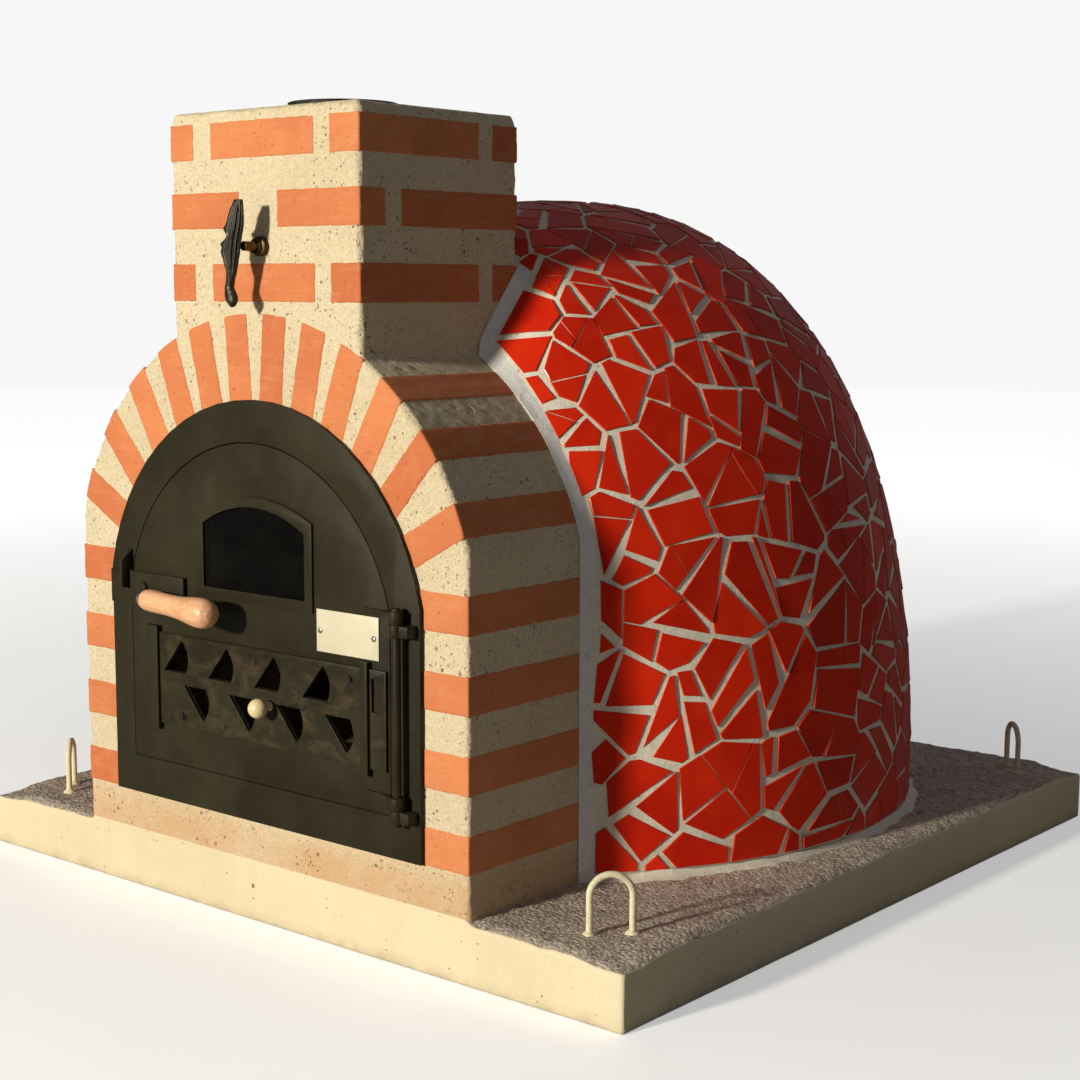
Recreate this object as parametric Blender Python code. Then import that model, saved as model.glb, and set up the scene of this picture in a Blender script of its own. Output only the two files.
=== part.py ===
"""Wood fired pizza oven: a mosaic dome on a concrete slab, with a brick front, a steel door
and a short chimney.  Metres, +Z up.  The origin is the centre of the slab's underside, +X is
to the right of someone facing the door, and the door looks along -Y."""

import math

import bmesh
import bpy
from mathutils import Matrix, Vector

# ---------------------------------------------------------------- driving dimensions
GAP = 0.0003                      # clearance between pieces that touch

SLAB_SIDE = 1.200
SLAB_TOP = 0.083
FRONT_Y = -SLAB_SIDE / 2          # plane of the brick front

# brick front: a block with an arched top
BLOCK_HALF = 0.366
BLOCK_DEPTH = 0.214
BLOCK_BACK_Y = FRONT_Y + BLOCK_DEPTH
BLOCK_ARC_RADIUS = 0.379
BLOCK_ARC_Z = 0.425               # height of the arc's centre
PLINTH_TOP = 0.137

# bricks on edge around the arch: their tilt where they leave the door frame and at the outside
VOUSSOIR_TILTS = ((5.4, 5.6), (16.5, 16.7), (27.6, 27.6), (39.5, 39.6), (52.1, 53.0), (64.8, 68.2))
BRICK_THICK = 0.044
JAMB_BRICK_HEIGHT = 0.049
JAMB_BRICK_PITCH = 0.097
JAMB_BRICK_COUNT = 4
BRICK_INNER_RADIUS = 0.284        # hidden end of an arch brick, from the frame's arc centre
JAMB_INNER_X = 0.276

# chimney block and flue
CHIMNEY_LEFT = -0.158
CHIMNEY_RIGHT = 0.192
CHIMNEY_DEPTH = 0.292
CHIMNEY_BACK_Y = FRONT_Y + CHIMNEY_DEPTH
CHIMNEY_FOOT = 0.745
CHIMNEY_TOP = 1.0616
CHIMNEY_CHAMFER_WIDE = 0.007
CHIMNEY_CHAMFER_TALL = 0.013
FLUE_X = (CHIMNEY_LEFT + CHIMNEY_RIGHT) / 2
FLUE_Y = (FRONT_Y + CHIMNEY_BACK_Y) / 2
PIPE_RADIUS = 0.070
PIPE_WALL = 0.002
PIPE_FOOT = 0.806
PIPE_TOP = 1.072
THROAT_RADIUS = 0.0625
THROAT_LINING = 0.004             # mortar left between the throat and the nearest bricks
SHORT_BRICK_BACK_Y = FLUE_Y - THROAT_RADIUS - THROAT_LINING
COLLAR_RADIUS = 0.0725
COLLAR_TOP = 1.075

# dome: rings of a superellipse, stretched forwards until it meets the brick front
DOME_Y = 0.020
DOME_RADIUS = 0.538
DOME_TOP = 0.967
DOME_HEIGHT_POWER = 2.46
DOME_WIDTH_POWER = 2.23
DOME_SEGMENTS = 36
DOME_RINGS = 12
TILE_THICK = 0.004
RENDER_THICK = 0.020
REFRACTORY_OUTER = (0.470, 0.860)  # radius and crown height
REFRACTORY_INNER = (0.410, 0.800)

# hearth
BOARD_TOP = 0.130                 # insulating board under the floor
HEARTH_TOP = 0.192
HEARTH_RADIUS = 0.4095

# doorway, frame and leaf
FRAME_HALF = 0.294
FRAME_BOTTOM = 0.138
FRAME_ARC_RADIUS = 0.300
FRAME_ARC_Z = 0.394
PLATE_THICK = 0.006
LEAF_X = -0.0045                  # centre of the leaf
LEAF_HALF = 0.2475
LEAF_BOTTOM = 0.192
LEAF_ARC_RADIUS = 0.254
LEAF_ARC_Z = 0.384
LEAF_CLEARANCE = 0.0015
SLEEVE_WALL = 0.006               # the frame's sleeve outside the leaf's outline
STOP_LIP = 0.0115                 # how far the sleeve reaches in behind the leaf
SLEEVE_BACK_Y = FRONT_Y + 0.055
FRAME_BACK_Y = FRONT_Y - GAP
FRAME_FACE_Y = FRAME_BACK_Y - PLATE_THICK
LEAF_BACK_Y = FRAME_BACK_Y - GAP
ON_LEAF_Y = FRAME_FACE_Y - GAP    # back face of whatever is fixed on the leaf or the frame

# window
WINDOW_HALF = 0.097
WINDOW_BOTTOM = 0.444
WINDOW_SHOULDER = 0.529
WINDOW_CROWN = 0.556
BEZEL_WIDE = 0.014
BEZEL_THICK = 0.0032
GLASS_THICK = 0.004
GLASS_LAP = 0.003

# vent slider
SLIDER_LEFT, SLIDER_RIGHT = -0.201, 0.240
SLIDER_BOTTOM, SLIDER_TOP = 0.246, 0.372
SLIDER_THICK = 0.004
SLOT_LEFT, SLOT_RIGHT = 0.215, 0.232
SLOT_BOTTOM, SLOT_TOP = 0.318, 0.360
SLOT_CORNER = 0.008
FIN_COLUMNS = 4
FIN_PITCH = 0.091
FIN_UPPER = (-0.182, 0.320)       # flat side's outer corner of the first upper hole
FIN_LOWER = (-0.141, 0.304)
GUIDE_LEFT = (-0.214, -0.190)
GUIDE_RIGHT = (0.199, 0.212)
GUIDE_FOOT = 0.007
GUIDE_THICK = 0.004
KNOB = (0.030, 0.300)
KNOB_RADIUS = 0.013
KNOB_STAND = 0.020

# name plate
PLATE_LEFT, PLATE_RIGHT = 0.117, 0.226
PLATE_BOTTOM, PLATE_TOP = 0.383, 0.437
NAME_PLATE_THICK = 0.0015
SCREW_INSET = 0.0075

# hinge
HINGE_X = 0.268
HINGE_Y = FRAME_FACE_Y - 0.014
ROD_RADIUS = 0.0055
ROD_BOTTOM, ROD_TOP = 0.185, 0.455
STRAP_LEFT = 0.203
STRAP_HEIGHTS = {"top": 0.4435, "bottom": 0.2140}
STRAP_THICK = 0.004
STRAP_HALF_TALL = 0.0045
STRAP_BEND_X = 0.238              # where a strap leaves the leaf for its barrel
BARREL_RADIUS = 0.0095
BARREL_TALL = 0.016
BRACKET_RIGHT = 0.290

# latch
BAR_LEFT, BAR_RIGHT = -0.288, -0.135
BAR_BOTTOM, BAR_TOP = 0.405, 0.451
BAR_BACK_Y = FRAME_FACE_Y - 0.0022
BAR_THICK = 0.005
PIVOT = (-0.217, 0.430)
GRIP_START = Vector((-0.188, -0.6320, 0.419))
GRIP_TURN = math.radians(9.9)     # the grip leans away from the door
KEEPER_LEFT, KEEPER_RIGHT = -0.253, -0.248
KEEPER_TOP = 0.481
KEEPER_TIP = 0.428
NOTCH_CLEARANCE = 0.0008          # the bar's notch beside the keeper's finger

# damper
SPINDLE_X = FLUE_X
SPINDLE_Z = 0.888
SPINDLE_RADIUS = 0.006
HANDLE_Y = -0.640
DAMPER_RADIUS = 0.061
DAMPER_THICK = 0.003

# lifting loops
LOOP_XY = 0.520
LOOP_HALF_SPAN = 0.026
LOOP_ABOVE = 0.074
LOOP_BELOW = 0.045
LOOP_ROD_RADIUS = 0.004


# ---------------------------------------------------------------- materials
def material(name, colour, roughness, metallic=0.0):
    made = bpy.data.materials.new(name)
    made.use_nodes = True
    shader = made.node_tree.nodes["Principled BSDF"]
    shader.inputs["Base Color"].default_value = (*colour, 1.0)
    shader.inputs["Roughness"].default_value = roughness
    shader.inputs["Metallic"].default_value = metallic
    made.diffuse_color = (*colour, 1.0)
    return made


# ---------------------------------------------------------------- building blocks
def add_mesh(name, build, surface, smooth=False):
    """Make one object from a function that fills a bmesh."""
    work = bmesh.new()
    build(work)
    bmesh.ops.recalc_face_normals(work, faces=work.faces)
    mesh = bpy.data.meshes.new(name)
    work.to_mesh(mesh)
    work.free()
    made = bpy.data.objects.new(name, mesh)
    bpy.context.scene.collection.objects.link(made)
    if surface is not None:
        mesh.materials.append(surface)
    if smooth:
        mesh.shade_smooth()
        mesh.set_sharp_from_angle(angle=math.radians(35))
    return made


def box(name, low, high, surface):
    def build(work):
        bmesh.ops.create_cube(work, size=1.0)
        size = Vector(high) - Vector(low)
        centre = (Vector(high) + Vector(low)) / 2
        bmesh.ops.scale(work, vec=size, verts=work.verts)
        bmesh.ops.translate(work, vec=centre, verts=work.verts)
    return add_mesh(name, build, surface)


def extrude_outlines(name, outlines, axis, start, end, surface, smooth=False):
    """Extrude closed outlines along X or Y.  Outline points are (x, z) for Y and (y, z) for X."""
    def place(point, along):
        if axis == "Y":
            return (point[0], along, point[1])
        return (along, point[0], point[1])

    def build(work):
        for outline in outlines:
            near = [work.verts.new(place(point, start)) for point in outline]
            far = [work.verts.new(place(point, end)) for point in outline]
            work.faces.new(near)
            work.faces.new(list(reversed(far)))
            for i in range(len(outline)):
                j = (i + 1) % len(outline)
                work.faces.new((near[j], near[i], far[i], far[j]))
    return add_mesh(name, build, surface, smooth)


def turn(name, profile, surface, segments=24):
    """Turn a closed (radius, height) profile about local Z; a radius of 0 is a pole."""
    def build(work):
        rings = []
        for radius, height in profile:
            if radius == 0:
                rings.append([work.verts.new((0, 0, height))])
                continue
            steps = (2 * math.pi * k / segments for k in range(segments))
            rings.append([work.verts.new((radius * math.cos(a), radius * math.sin(a), height))
                          for a in steps])
        for i, ring in enumerate(rings):
            following = rings[(i + 1) % len(rings)]
            skin_between(work, ring, following)
    return add_mesh(name, build, surface, smooth=True)


def skin_between(work, first, second, split=False):
    """Join two rings with quads, or a ring and a pole with triangles; split cuts each quad in two."""
    if len(first) == 1 and len(second) == 1:
        return
    count = max(len(first), len(second))
    for k in range(count):
        after = (k + 1) % count
        corners = []
        for ring, order in ((first, (k, after)), (second, (after, k))):
            if len(ring) == 1:
                corners.append(ring[0])
            else:
                corners.extend(ring[index] for index in order)
        if split and len(corners) == 4:
            work.faces.new((corners[0], corners[1], corners[2]))
            work.faces.new((corners[0], corners[2], corners[3]))
        else:
            work.faces.new(corners)


def cylinder(name, radius, low, high, surface, segments=24):
    return turn(name, [(0, low), (radius, low), (radius, high), (0, high)], surface, segments)


def tube(name, inner, outer, low, high, surface, segments=32):
    return turn(name, [(inner, low), (outer, low), (outer, high), (inner, high)], surface, segments)


def place(thing, position, along=None):
    """Move an object, and turn its local Z onto a direction."""
    thing.location = position
    if along is not None:
        thing.rotation_euler = Vector(along).to_track_quat("Z", "X").to_euler()
    return thing


def as_cutter(thing):
    thing.hide_render = True
    thing.display_type = "WIRE"
    return thing


def combine(target, other, operation):
    as_cutter(other)
    step = target.modifiers.new(f"{operation.lower()} {other.name}", "BOOLEAN")
    step.operation = operation
    step.object = other
    step.solver = "EXACT"


def cut(target, *cutters):
    for cutter in cutters:
        combine(target, cutter, "DIFFERENCE")


def fuse(target, *others):
    for other in others:
        combine(target, other, "UNION")


# ---------------------------------------------------------------- outlines
def arch_outline(half, bottom, radius, arc_z, middle=0.0, grow=0.0, steps=24):
    """Upright sides closed by an arc, as (x, z) points; grow offsets it outwards."""
    half, bottom, radius = half + grow, bottom - grow, radius + grow
    spring = math.asin(half / radius)
    points = [(middle - half, bottom), (middle + half, bottom)]
    for k in range(steps + 1):
        angle = spring - 2 * spring * k / steps
        points.append((middle + radius * math.sin(angle), arc_z + radius * math.cos(angle)))
    return points


def block_outline(grow=0.0):
    return arch_outline(BLOCK_HALF, SLAB_TOP + GAP, BLOCK_ARC_RADIUS, BLOCK_ARC_Z, grow=grow, steps=36)


def leaf_outline(grow=0.0):
    return arch_outline(LEAF_HALF, LEAF_BOTTOM, LEAF_ARC_RADIUS, LEAF_ARC_Z, LEAF_X, grow)


def tunnel_outline():
    """The clear way in, flush with the hearth at the bottom."""
    outline = leaf_outline(-STOP_LIP)
    return [(x, HEARTH_TOP if z < HEARTH_TOP + STOP_LIP + GAP else z) for x, z in outline]


def window_outline(grow=0.0, steps=8):
    """Upright sides under a shallow arc."""
    half = WINDOW_HALF + grow
    rise = WINDOW_CROWN - WINDOW_SHOULDER
    radius = (half ** 2 + rise ** 2) / (2 * rise)
    spread = math.asin(half / radius)
    crown = WINDOW_CROWN + grow
    points = [(-half, WINDOW_BOTTOM - grow), (half, WINDOW_BOTTOM - grow)]
    for k in range(steps + 1):
        angle = spread - 2 * spread * k / steps
        points.append((radius * math.sin(angle), crown - radius + radius * math.cos(angle)))
    return points


def fin_outline(corner, upright):
    """Shark fin: a flat side, a slanted straight side and a bulging one that meet at the tip."""
    flat_end, bulge, tip = Vector((0.045, 0.0)), Vector((0.060, 0.025)), Vector((0.038, 0.045))
    points = [Vector((0.0, 0.0))]
    steps = 6
    for k in range(steps + 1):
        t = k / steps
        points.append((1 - t) ** 2 * flat_end + 2 * t * (1 - t) * bulge + t ** 2 * tip)
    side = 1 if upright else -1
    return [(corner[0] + point.x, corner[1] + side * point.y) for point in points]


def rounded_slot(left, right, bottom, top, radius, steps=4):
    """A slot with two rounded corners on its right."""
    points = [(left, top), (left, bottom)]
    for centre_z, first in ((bottom + radius, -90), (top - radius, 0)):
        for k in range(steps + 1):
            angle = math.radians(first + 90 * k / steps)
            points.append((right - radius + radius * math.cos(angle),
                           centre_z + radius * math.sin(angle)))
    return points


# ---------------------------------------------------------------- dome shells
def smooth_step(value):
    value = min(max(value, 0.0), 1.0)
    return value * value * (3 - 2 * value)


def forward_stretch(height):
    """How far the dome reaches forwards at a height, as a multiple of its radius there."""
    return 1.03 + 0.21 * smooth_step((height - 0.25) / 0.33) + 0.30 * smooth_step((height - 0.70) / 0.20)


def dome_rings(work, radius, top, foot, stretched):
    """Rings of vertices from the foot to the crown, ending with the crown itself."""
    rings = []
    for k in range(DOME_RINGS):
        rise = (math.pi / 2) * k / DOME_RINGS
        climb = math.sin(rise) ** (2 / DOME_HEIGHT_POWER)
        height = foot + (top - foot) * climb
        # every shell takes its stretch from the outermost one, so that they nest
        stretch = forward_stretch(SLAB_TOP + (DOME_TOP - SLAB_TOP) * climb)
        reach = radius * math.cos(rise) ** (2 / DOME_WIDTH_POWER)
        ring = []
        for s in range(DOME_SEGMENTS):
            turn_angle = 2 * math.pi * s / DOME_SEGMENTS
            x = reach * math.cos(turn_angle)
            y = reach * math.sin(turn_angle)
            if stretched and y < 0:
                y *= stretch
            ring.append(work.verts.new((x, DOME_Y + y, height)))
        rings.append(ring)
    rings.append([work.verts.new((0, DOME_Y, top))])
    return rings


def dome_shell(name, outer, inner, surface, foot=SLAB_TOP + GAP, inner_foot=None, inner_stretched=True,
               outer_stretched=True):
    """A bell between two domes, each given as (radius, crown height), open underneath."""
    def build(work):
        outside = dome_rings(work, *outer, foot, outer_stretched)
        inside = dome_rings(work, *inner, inner_foot or foot, inner_stretched)
        if inner_foot:
            # a straight ring carries the inside down to the foot
            inside.insert(0, [work.verts.new((v.co.x, v.co.y, foot)) for v in inside[0]])
        # the same diagonal in every shell keeps neighbours parallel
        for rings in (outside, inside):
            for first, second in zip(rings, rings[1:]):
                skin_between(work, first, second, split=True)
        skin_between(work, inside[0], outside[0])
    return add_mesh(name, build, surface, smooth=True)


def build_dome(looks):
    """Refractory dome, insulation, render and the tiled skin, cut away for the brick front."""
    skin_in = (DOME_RADIUS - TILE_THICK, DOME_TOP - TILE_THICK)
    render_out = (skin_in[0] - GAP, skin_in[1] - GAP)
    render_in = (render_out[0] - RENDER_THICK, render_out[1] - RENDER_THICK)
    fill_out = (render_in[0] - GAP, render_in[1] - GAP)
    fill_in = (REFRACTORY_OUTER[0] + 2 * GAP, REFRACTORY_OUTER[1] + 2 * GAP)
    wall_foot = BOARD_TOP + GAP

    front = extrude_outlines("front cutter", [block_outline(grow=GAP)], "Y", -0.8,
                             BLOCK_BACK_Y + GAP, None)
    under_slab = box("front foot cutter", (-BLOCK_HALF - GAP, -0.8, 0.0),
                     (BLOCK_HALF + GAP, BLOCK_BACK_Y + GAP, 0.2), None)
    chimney = box("chimney cutter", (CHIMNEY_LEFT - GAP, -0.8, CHIMNEY_FOOT - GAP),
                  (CHIMNEY_RIGHT + GAP, CHIMNEY_BACK_Y + GAP, 1.2), None)
    doorway = extrude_outlines("doorway cutter", [tunnel_outline()], "Y", -0.8, -0.15, None)

    skin = dome_shell("mosaic_cladding", (DOME_RADIUS, DOME_TOP), skin_in, looks["tile"])
    render = dome_shell("render_shell", render_out, render_in, looks["grout"])
    fill = dome_shell("insulation_layer", fill_out, fill_in, looks["insulation"], inner_foot=wall_foot,
                      inner_stretched=False)
    vault = dome_shell("refractory_dome", REFRACTORY_OUTER, REFRACTORY_INNER, looks["firebrick"],
                       foot=wall_foot, inner_stretched=False, outer_stretched=False)
    for shell in (skin, render, fill, vault):
        cut(shell, front, under_slab)
    for shell in (skin, render, fill, vault):
        cut(shell, chimney)
    for shell in (fill, vault):
        cut(shell, doorway)

    board = cylinder("hearth_insulation", REFRACTORY_OUTER[0] - 0.002, SLAB_TOP + GAP, BOARD_TOP,
                     looks["insulation"], DOME_SEGMENTS)
    hearth = cylinder("hearth_floor", HEARTH_RADIUS - 0.003, BOARD_TOP + GAP, HEARTH_TOP,
                      looks["firebrick"], DOME_SEGMENTS)
    for disc in (board, hearth):
        place(disc, (0, DOME_Y, 0))
        cut(disc, under_slab)


# ---------------------------------------------------------------- base
def build_slab(looks):
    slab = box("base_slab", (-SLAB_SIDE / 2, -SLAB_SIDE / 2, 0), (SLAB_SIDE / 2, SLAB_SIDE / 2, SLAB_TOP),
               looks["slab"])
    corners = (("front_left", -1, -1), ("front_right", 1, -1), ("back_left", -1, 1), ("back_right", 1, 1))
    for name, side_x, side_y in corners:
        middle = Vector((side_x * LOOP_XY, side_y * LOOP_XY, SLAB_TOP))
        # the two legs stand across the slab's diagonal
        across = Vector((-side_y, side_x, 0)).normalized()
        lifting_loop(f"lifting_loop_{name}", middle, across, looks["loop"])
        for side in (-1, 1):
            socket = cylinder(f"socket {name} {side}", LOOP_ROD_RADIUS + GAP, -LOOP_BELOW - GAP, 0.02,
                              None, 12)
            place(socket, middle + across * side * LOOP_HALF_SPAN)
            cut(slab, socket)


def lifting_loop(name, middle, across, surface):
    """A bar bent into an upside-down U and cast into the slab."""
    up = Vector((0, 0, 1))
    bend = LOOP_HALF_SPAN
    shoulder = LOOP_ABOVE - LOOP_ROD_RADIUS - bend
    points = [middle - across * bend - up * LOOP_BELOW]
    steps = 10
    for k in range(steps + 1):
        angle = math.pi * (1 - k / steps)
        points.append(middle + across * bend * math.cos(angle) + up * (shoulder + bend * math.sin(angle)))
    points.append(middle + across * bend - up * LOOP_BELOW)
    curve = bpy.data.curves.new(name, "CURVE")
    curve.dimensions = "3D"
    curve.bevel_depth = LOOP_ROD_RADIUS
    curve.bevel_resolution = 2
    curve.use_fill_caps = True
    curve.resolution_u = 1
    curve.render_resolution_u = 0
    curve.materials.append(surface)
    spline = curve.splines.new("POLY")
    spline.points.add(len(points) - 1)
    for point, position in zip(spline.points, points):
        point.co = (*position, 1.0)
    loop = bpy.data.objects.new(name, curve)
    bpy.context.scene.collection.objects.link(loop)


# ---------------------------------------------------------------- brick front
def on_arc(radius, centre_z, tilt):
    """The (x, z) point of an arc that leans from the vertical by a tilt."""
    return Vector((radius * math.sin(tilt), centre_z + radius * math.cos(tilt)))


def voussoir_outline(inner_tilt, outer_tilt, grow=0.0, reach=0.0):
    """Outline of one arch brick: a strip from the hidden end to the curved outside."""
    start = on_arc(FRAME_ARC_RADIUS, FRAME_ARC_Z, inner_tilt)
    end = on_arc(BLOCK_ARC_RADIUS, BLOCK_ARC_Z, outer_tilt)
    along = (end - start).normalized()
    side = Vector((along.y, -along.x)) * (BRICK_THICK / 2 + grow)
    hidden = start - along * (FRAME_ARC_RADIUS - BRICK_INNER_RADIUS + grow)
    outside = []
    for offset in (1, 0, -1):
        point = end + side * offset
        if reach:
            outside.append(point + along * reach)
            continue
        # slide along the brick until the point lies on the block's arc
        centre = Vector((0.0, BLOCK_ARC_Z))
        ahead = (centre - point).dot(along)
        beside = (centre - point - along * ahead).length
        outside.append(point + along * (ahead + math.sqrt(BLOCK_ARC_RADIUS ** 2 - beside ** 2)))
    corners = [hidden - side, hidden + side, *outside]
    return [tuple(corner) for corner in corners]


def build_front(looks):
    """The masonry block with its bricks let into through slots."""
    block = extrude_outlines("arch_block", [block_outline()], "Y", FRONT_Y, BLOCK_BACK_Y, looks["mortar"])
    slots = []
    short_slots = []
    number = 0
    for side in (-1, 1):
        tilts = VOUSSOIR_TILTS if side > 0 else tuple(reversed(VOUSSOIR_TILTS))
        for inner, outer in tilts:
            number += 1
            tilt_pair = (side * math.radians(inner), side * math.radians(outer))
            # the bricks in front of the smoke throat are cut short
            inner_end_x = BRICK_INNER_RADIUS * math.sin(tilt_pair[0])
            short = abs(inner_end_x - FLUE_X) < THROAT_RADIUS + BRICK_THICK / 2 + THROAT_LINING
            back = SHORT_BRICK_BACK_Y if short else BLOCK_BACK_Y
            extrude_outlines(f"arch_brick_{number:02d}", [voussoir_outline(*tilt_pair)], "Y",
                             FRONT_Y, back, looks["brick"])
            slot = voussoir_outline(*tilt_pair, grow=GAP, reach=0.02)
            if short:
                short_slots.append(slot)
            else:
                slots.append(slot)
    for side, word in ((-1, "left"), (1, "right")):
        for row in range(JAMB_BRICK_COUNT):
            bottom = PLINTH_TOP + row * JAMB_BRICK_PITCH
            top = bottom + JAMB_BRICK_HEIGHT
            xs = sorted((side * JAMB_INNER_X, side * BLOCK_HALF))
            box(f"jamb_brick_{word}_{row + 1}", (xs[0], FRONT_Y, bottom), (xs[1], BLOCK_BACK_Y, top),
                looks["brick"])
            inner, outer = side * (JAMB_INNER_X - GAP), side * (BLOCK_HALF + 0.02)
            slots.append([(inner, bottom - GAP), (outer, bottom - GAP),
                          (outer, top + GAP), (inner, top + GAP)])
    slot_cutter = extrude_outlines("brick slots", slots, "Y", -0.8, BLOCK_BACK_Y + 0.02, None)
    short_cutter = extrude_outlines("short slots", short_slots, "Y", -0.8, SHORT_BRICK_BACK_Y + GAP, None)
    sleeve_room = extrude_outlines("sleeve room", [leaf_outline(SLEEVE_WALL + GAP)], "Y", -0.8,
                                   SLEEVE_BACK_Y + GAP, None)
    tunnel = extrude_outlines("tunnel cutter", [tunnel_outline()], "Y", -0.9, BLOCK_BACK_Y + 0.03, None)
    throat = place(cylinder("throat cutter", THROAT_RADIUS, 0.5, 0.9, None, 32), (FLUE_X, FLUE_Y, 0))
    cut(block, slot_cutter, short_cutter, sleeve_room, tunnel, throat)


# ---------------------------------------------------------------- chimney
def build_chimney(looks):
    wide, tall = CHIMNEY_CHAMFER_WIDE, CHIMNEY_CHAMFER_TALL
    outline = [(CHIMNEY_LEFT, CHIMNEY_FOOT), (CHIMNEY_RIGHT, CHIMNEY_FOOT),
               (CHIMNEY_RIGHT, CHIMNEY_TOP - tall), (CHIMNEY_RIGHT - wide, CHIMNEY_TOP),
               (CHIMNEY_LEFT + wide, CHIMNEY_TOP), (CHIMNEY_LEFT, CHIMNEY_TOP - tall)]
    block = extrude_outlines("chimney_block", [outline], "Y", FRONT_Y, CHIMNEY_BACK_Y, looks["mortar"])
    saddle = extrude_outlines("saddle cutter", [block_outline(grow=GAP)], "Y", -0.8,
                              BLOCK_BACK_Y + GAP, None)
    bore = place(cylinder("flue bore", PIPE_RADIUS + GAP, 0.5, 1.2, None, 32), (FLUE_X, FLUE_Y, 0))
    spindle_hole = cylinder("spindle hole", SPINDLE_RADIUS + GAP, 0, 0.30, None, 16)
    place(spindle_hole, (SPINDLE_X, FRONT_Y - 0.05, SPINDLE_Z), (0, 1, 0))
    cut(block, saddle, bore, spindle_hole)

    pipe = tube("flue_pipe", PIPE_RADIUS - PIPE_WALL, PIPE_RADIUS, PIPE_FOOT, PIPE_TOP, looks["steel_dark"])
    place(pipe, (FLUE_X, FLUE_Y, 0))
    cut(pipe, spindle_hole)
    collar = tube("flue_collar", PIPE_RADIUS + GAP, COLLAR_RADIUS, CHIMNEY_TOP + GAP, COLLAR_TOP,
                  looks["steel_dark"])
    place(collar, (FLUE_X, FLUE_Y, 0))


def build_damper(looks):
    """Bush in the wall, and a spindle that carries the flap and its cast handle."""
    bush_profile = [(SPINDLE_RADIUS + GAP, 0), (0.0125, 0), (0.0125, 0.007), (0.0095, 0.009),
                    (0.0095, 0.012), (SPINDLE_RADIUS + GAP, 0.012)]
    bush = turn("damper_bush", bush_profile, looks["bronze"], 20)
    place(bush, (SPINDLE_X, FRONT_Y - GAP, SPINDLE_Z), (0, -1, 0))

    handle_back = HANDLE_Y + 0.009
    spindle_end = FLUE_Y + PIPE_RADIUS
    spindle = cylinder("damper_spindle", SPINDLE_RADIUS, 0, spindle_end - handle_back, looks["bronze"], 16)
    place(spindle, (SPINDLE_X, handle_back, SPINDLE_Z), (0, 1, 0))
    damper_handle(looks["bronze"])

    flap = cylinder("damper_plate", DAMPER_RADIUS, 0, DAMPER_THICK, looks["steel_dark"], 32)
    place(flap, (SPINDLE_X + SPINDLE_RADIUS + GAP, FLUE_Y, SPINDLE_Z), (1, 0, 0))


def damper_handle(surface):
    """A cast lever: a leaf that narrows to a neck and ends in a curled toe."""
    # height, sideways offset, half width and half depth of each section
    sections = ((0.945, 0.009, 0.0035, 0.003), (0.936, 0.008, 0.0065, 0.005),
                (0.922, 0.005, 0.0115, 0.008), (0.905, 0.000, 0.0150, 0.009),
                (0.888, -0.003, 0.0150, 0.009), (0.872, -0.006, 0.0115, 0.008),
                (0.858, -0.010, 0.0075, 0.006), (0.844, -0.013, 0.0060, 0.005),
                (0.833, -0.013, 0.0070, 0.006), (0.824, -0.010, 0.0105, 0.007),
                (0.816, -0.008, 0.0100, 0.006), (0.811, -0.008, 0.0050, 0.003))
    around = 14

    def build(work):
        rings = []
        for height, offset, half_width, half_depth in sections:
            ring = []
            for k in range(around):
                angle = 2 * math.pi * k / around
                ring.append(work.verts.new((SPINDLE_X + offset + half_width * math.cos(angle),
                                            HANDLE_Y + half_depth * math.sin(angle), height)))
            rings.append(ring)
        for first, second in zip(rings, rings[1:]):
            skin_between(work, first, second)
        work.faces.new(rings[0])
        work.faces.new(list(reversed(rings[-1])))
    handle = add_mesh("damper_handle", build, surface, smooth=True)
    # a flat seat where the spindle meets the lever
    seat = box("handle seat", (-0.1, HANDLE_Y + 0.009 - GAP, SPINDLE_Z - 0.02),
               (0.1, HANDLE_Y + 0.03, SPINDLE_Z + 0.02), None)
    cut(handle, seat)


# ---------------------------------------------------------------- door
def build_frame(looks):
    frame = extrude_outlines("door_frame", [arch_outline(FRAME_HALF, FRAME_BOTTOM, FRAME_ARC_RADIUS,
                                                         FRAME_ARC_Z)],
                             "Y", FRAME_FACE_Y, FRAME_BACK_Y, looks["door"])
    sleeve = extrude_outlines("frame sleeve", [leaf_outline(SLEEVE_WALL)], "Y", FRAME_BACK_Y - 0.003,
                              SLEEVE_BACK_Y, None)
    leaf_room = extrude_outlines("leaf room", [leaf_outline(LEAF_CLEARANCE)], "Y", -0.8, FRAME_BACK_Y, None)
    way_in = extrude_outlines("frame way in", [leaf_outline(-STOP_LIP)], "Y", -0.9, -0.4, None)
    fuse(frame, sleeve)
    cut(frame, leaf_room, way_in)
    for word, height in STRAP_HEIGHTS.items():
        hinge_bracket(word, height, looks["door"])
    latch_keeper(looks["door"])


def hinge_bracket(word, strap_height, surface):
    """An eye for the rod on an arm from the frame, just under the leaf's own barrel."""
    top = strap_height - BARREL_TALL / 2 - GAP
    bottom = top - BARREL_TALL
    bracket = cylinder(f"hinge_bracket_{word}", BARREL_RADIUS, bottom, top, surface, 20)
    place(bracket, (HINGE_X, HINGE_Y, 0))
    arm = box(f"bracket arm {word}", (HINGE_X, HINGE_Y - 0.004, bottom + 0.001),
              (BRACKET_RIGHT, ON_LEAF_Y, top - 0.001), None)
    eye = place(cylinder(f"bracket eye {word}", ROD_RADIUS + GAP, 0, 1, None, 20), (HINGE_X, HINGE_Y, 0))
    fuse(bracket, arm)
    cut(bracket, eye)


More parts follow.
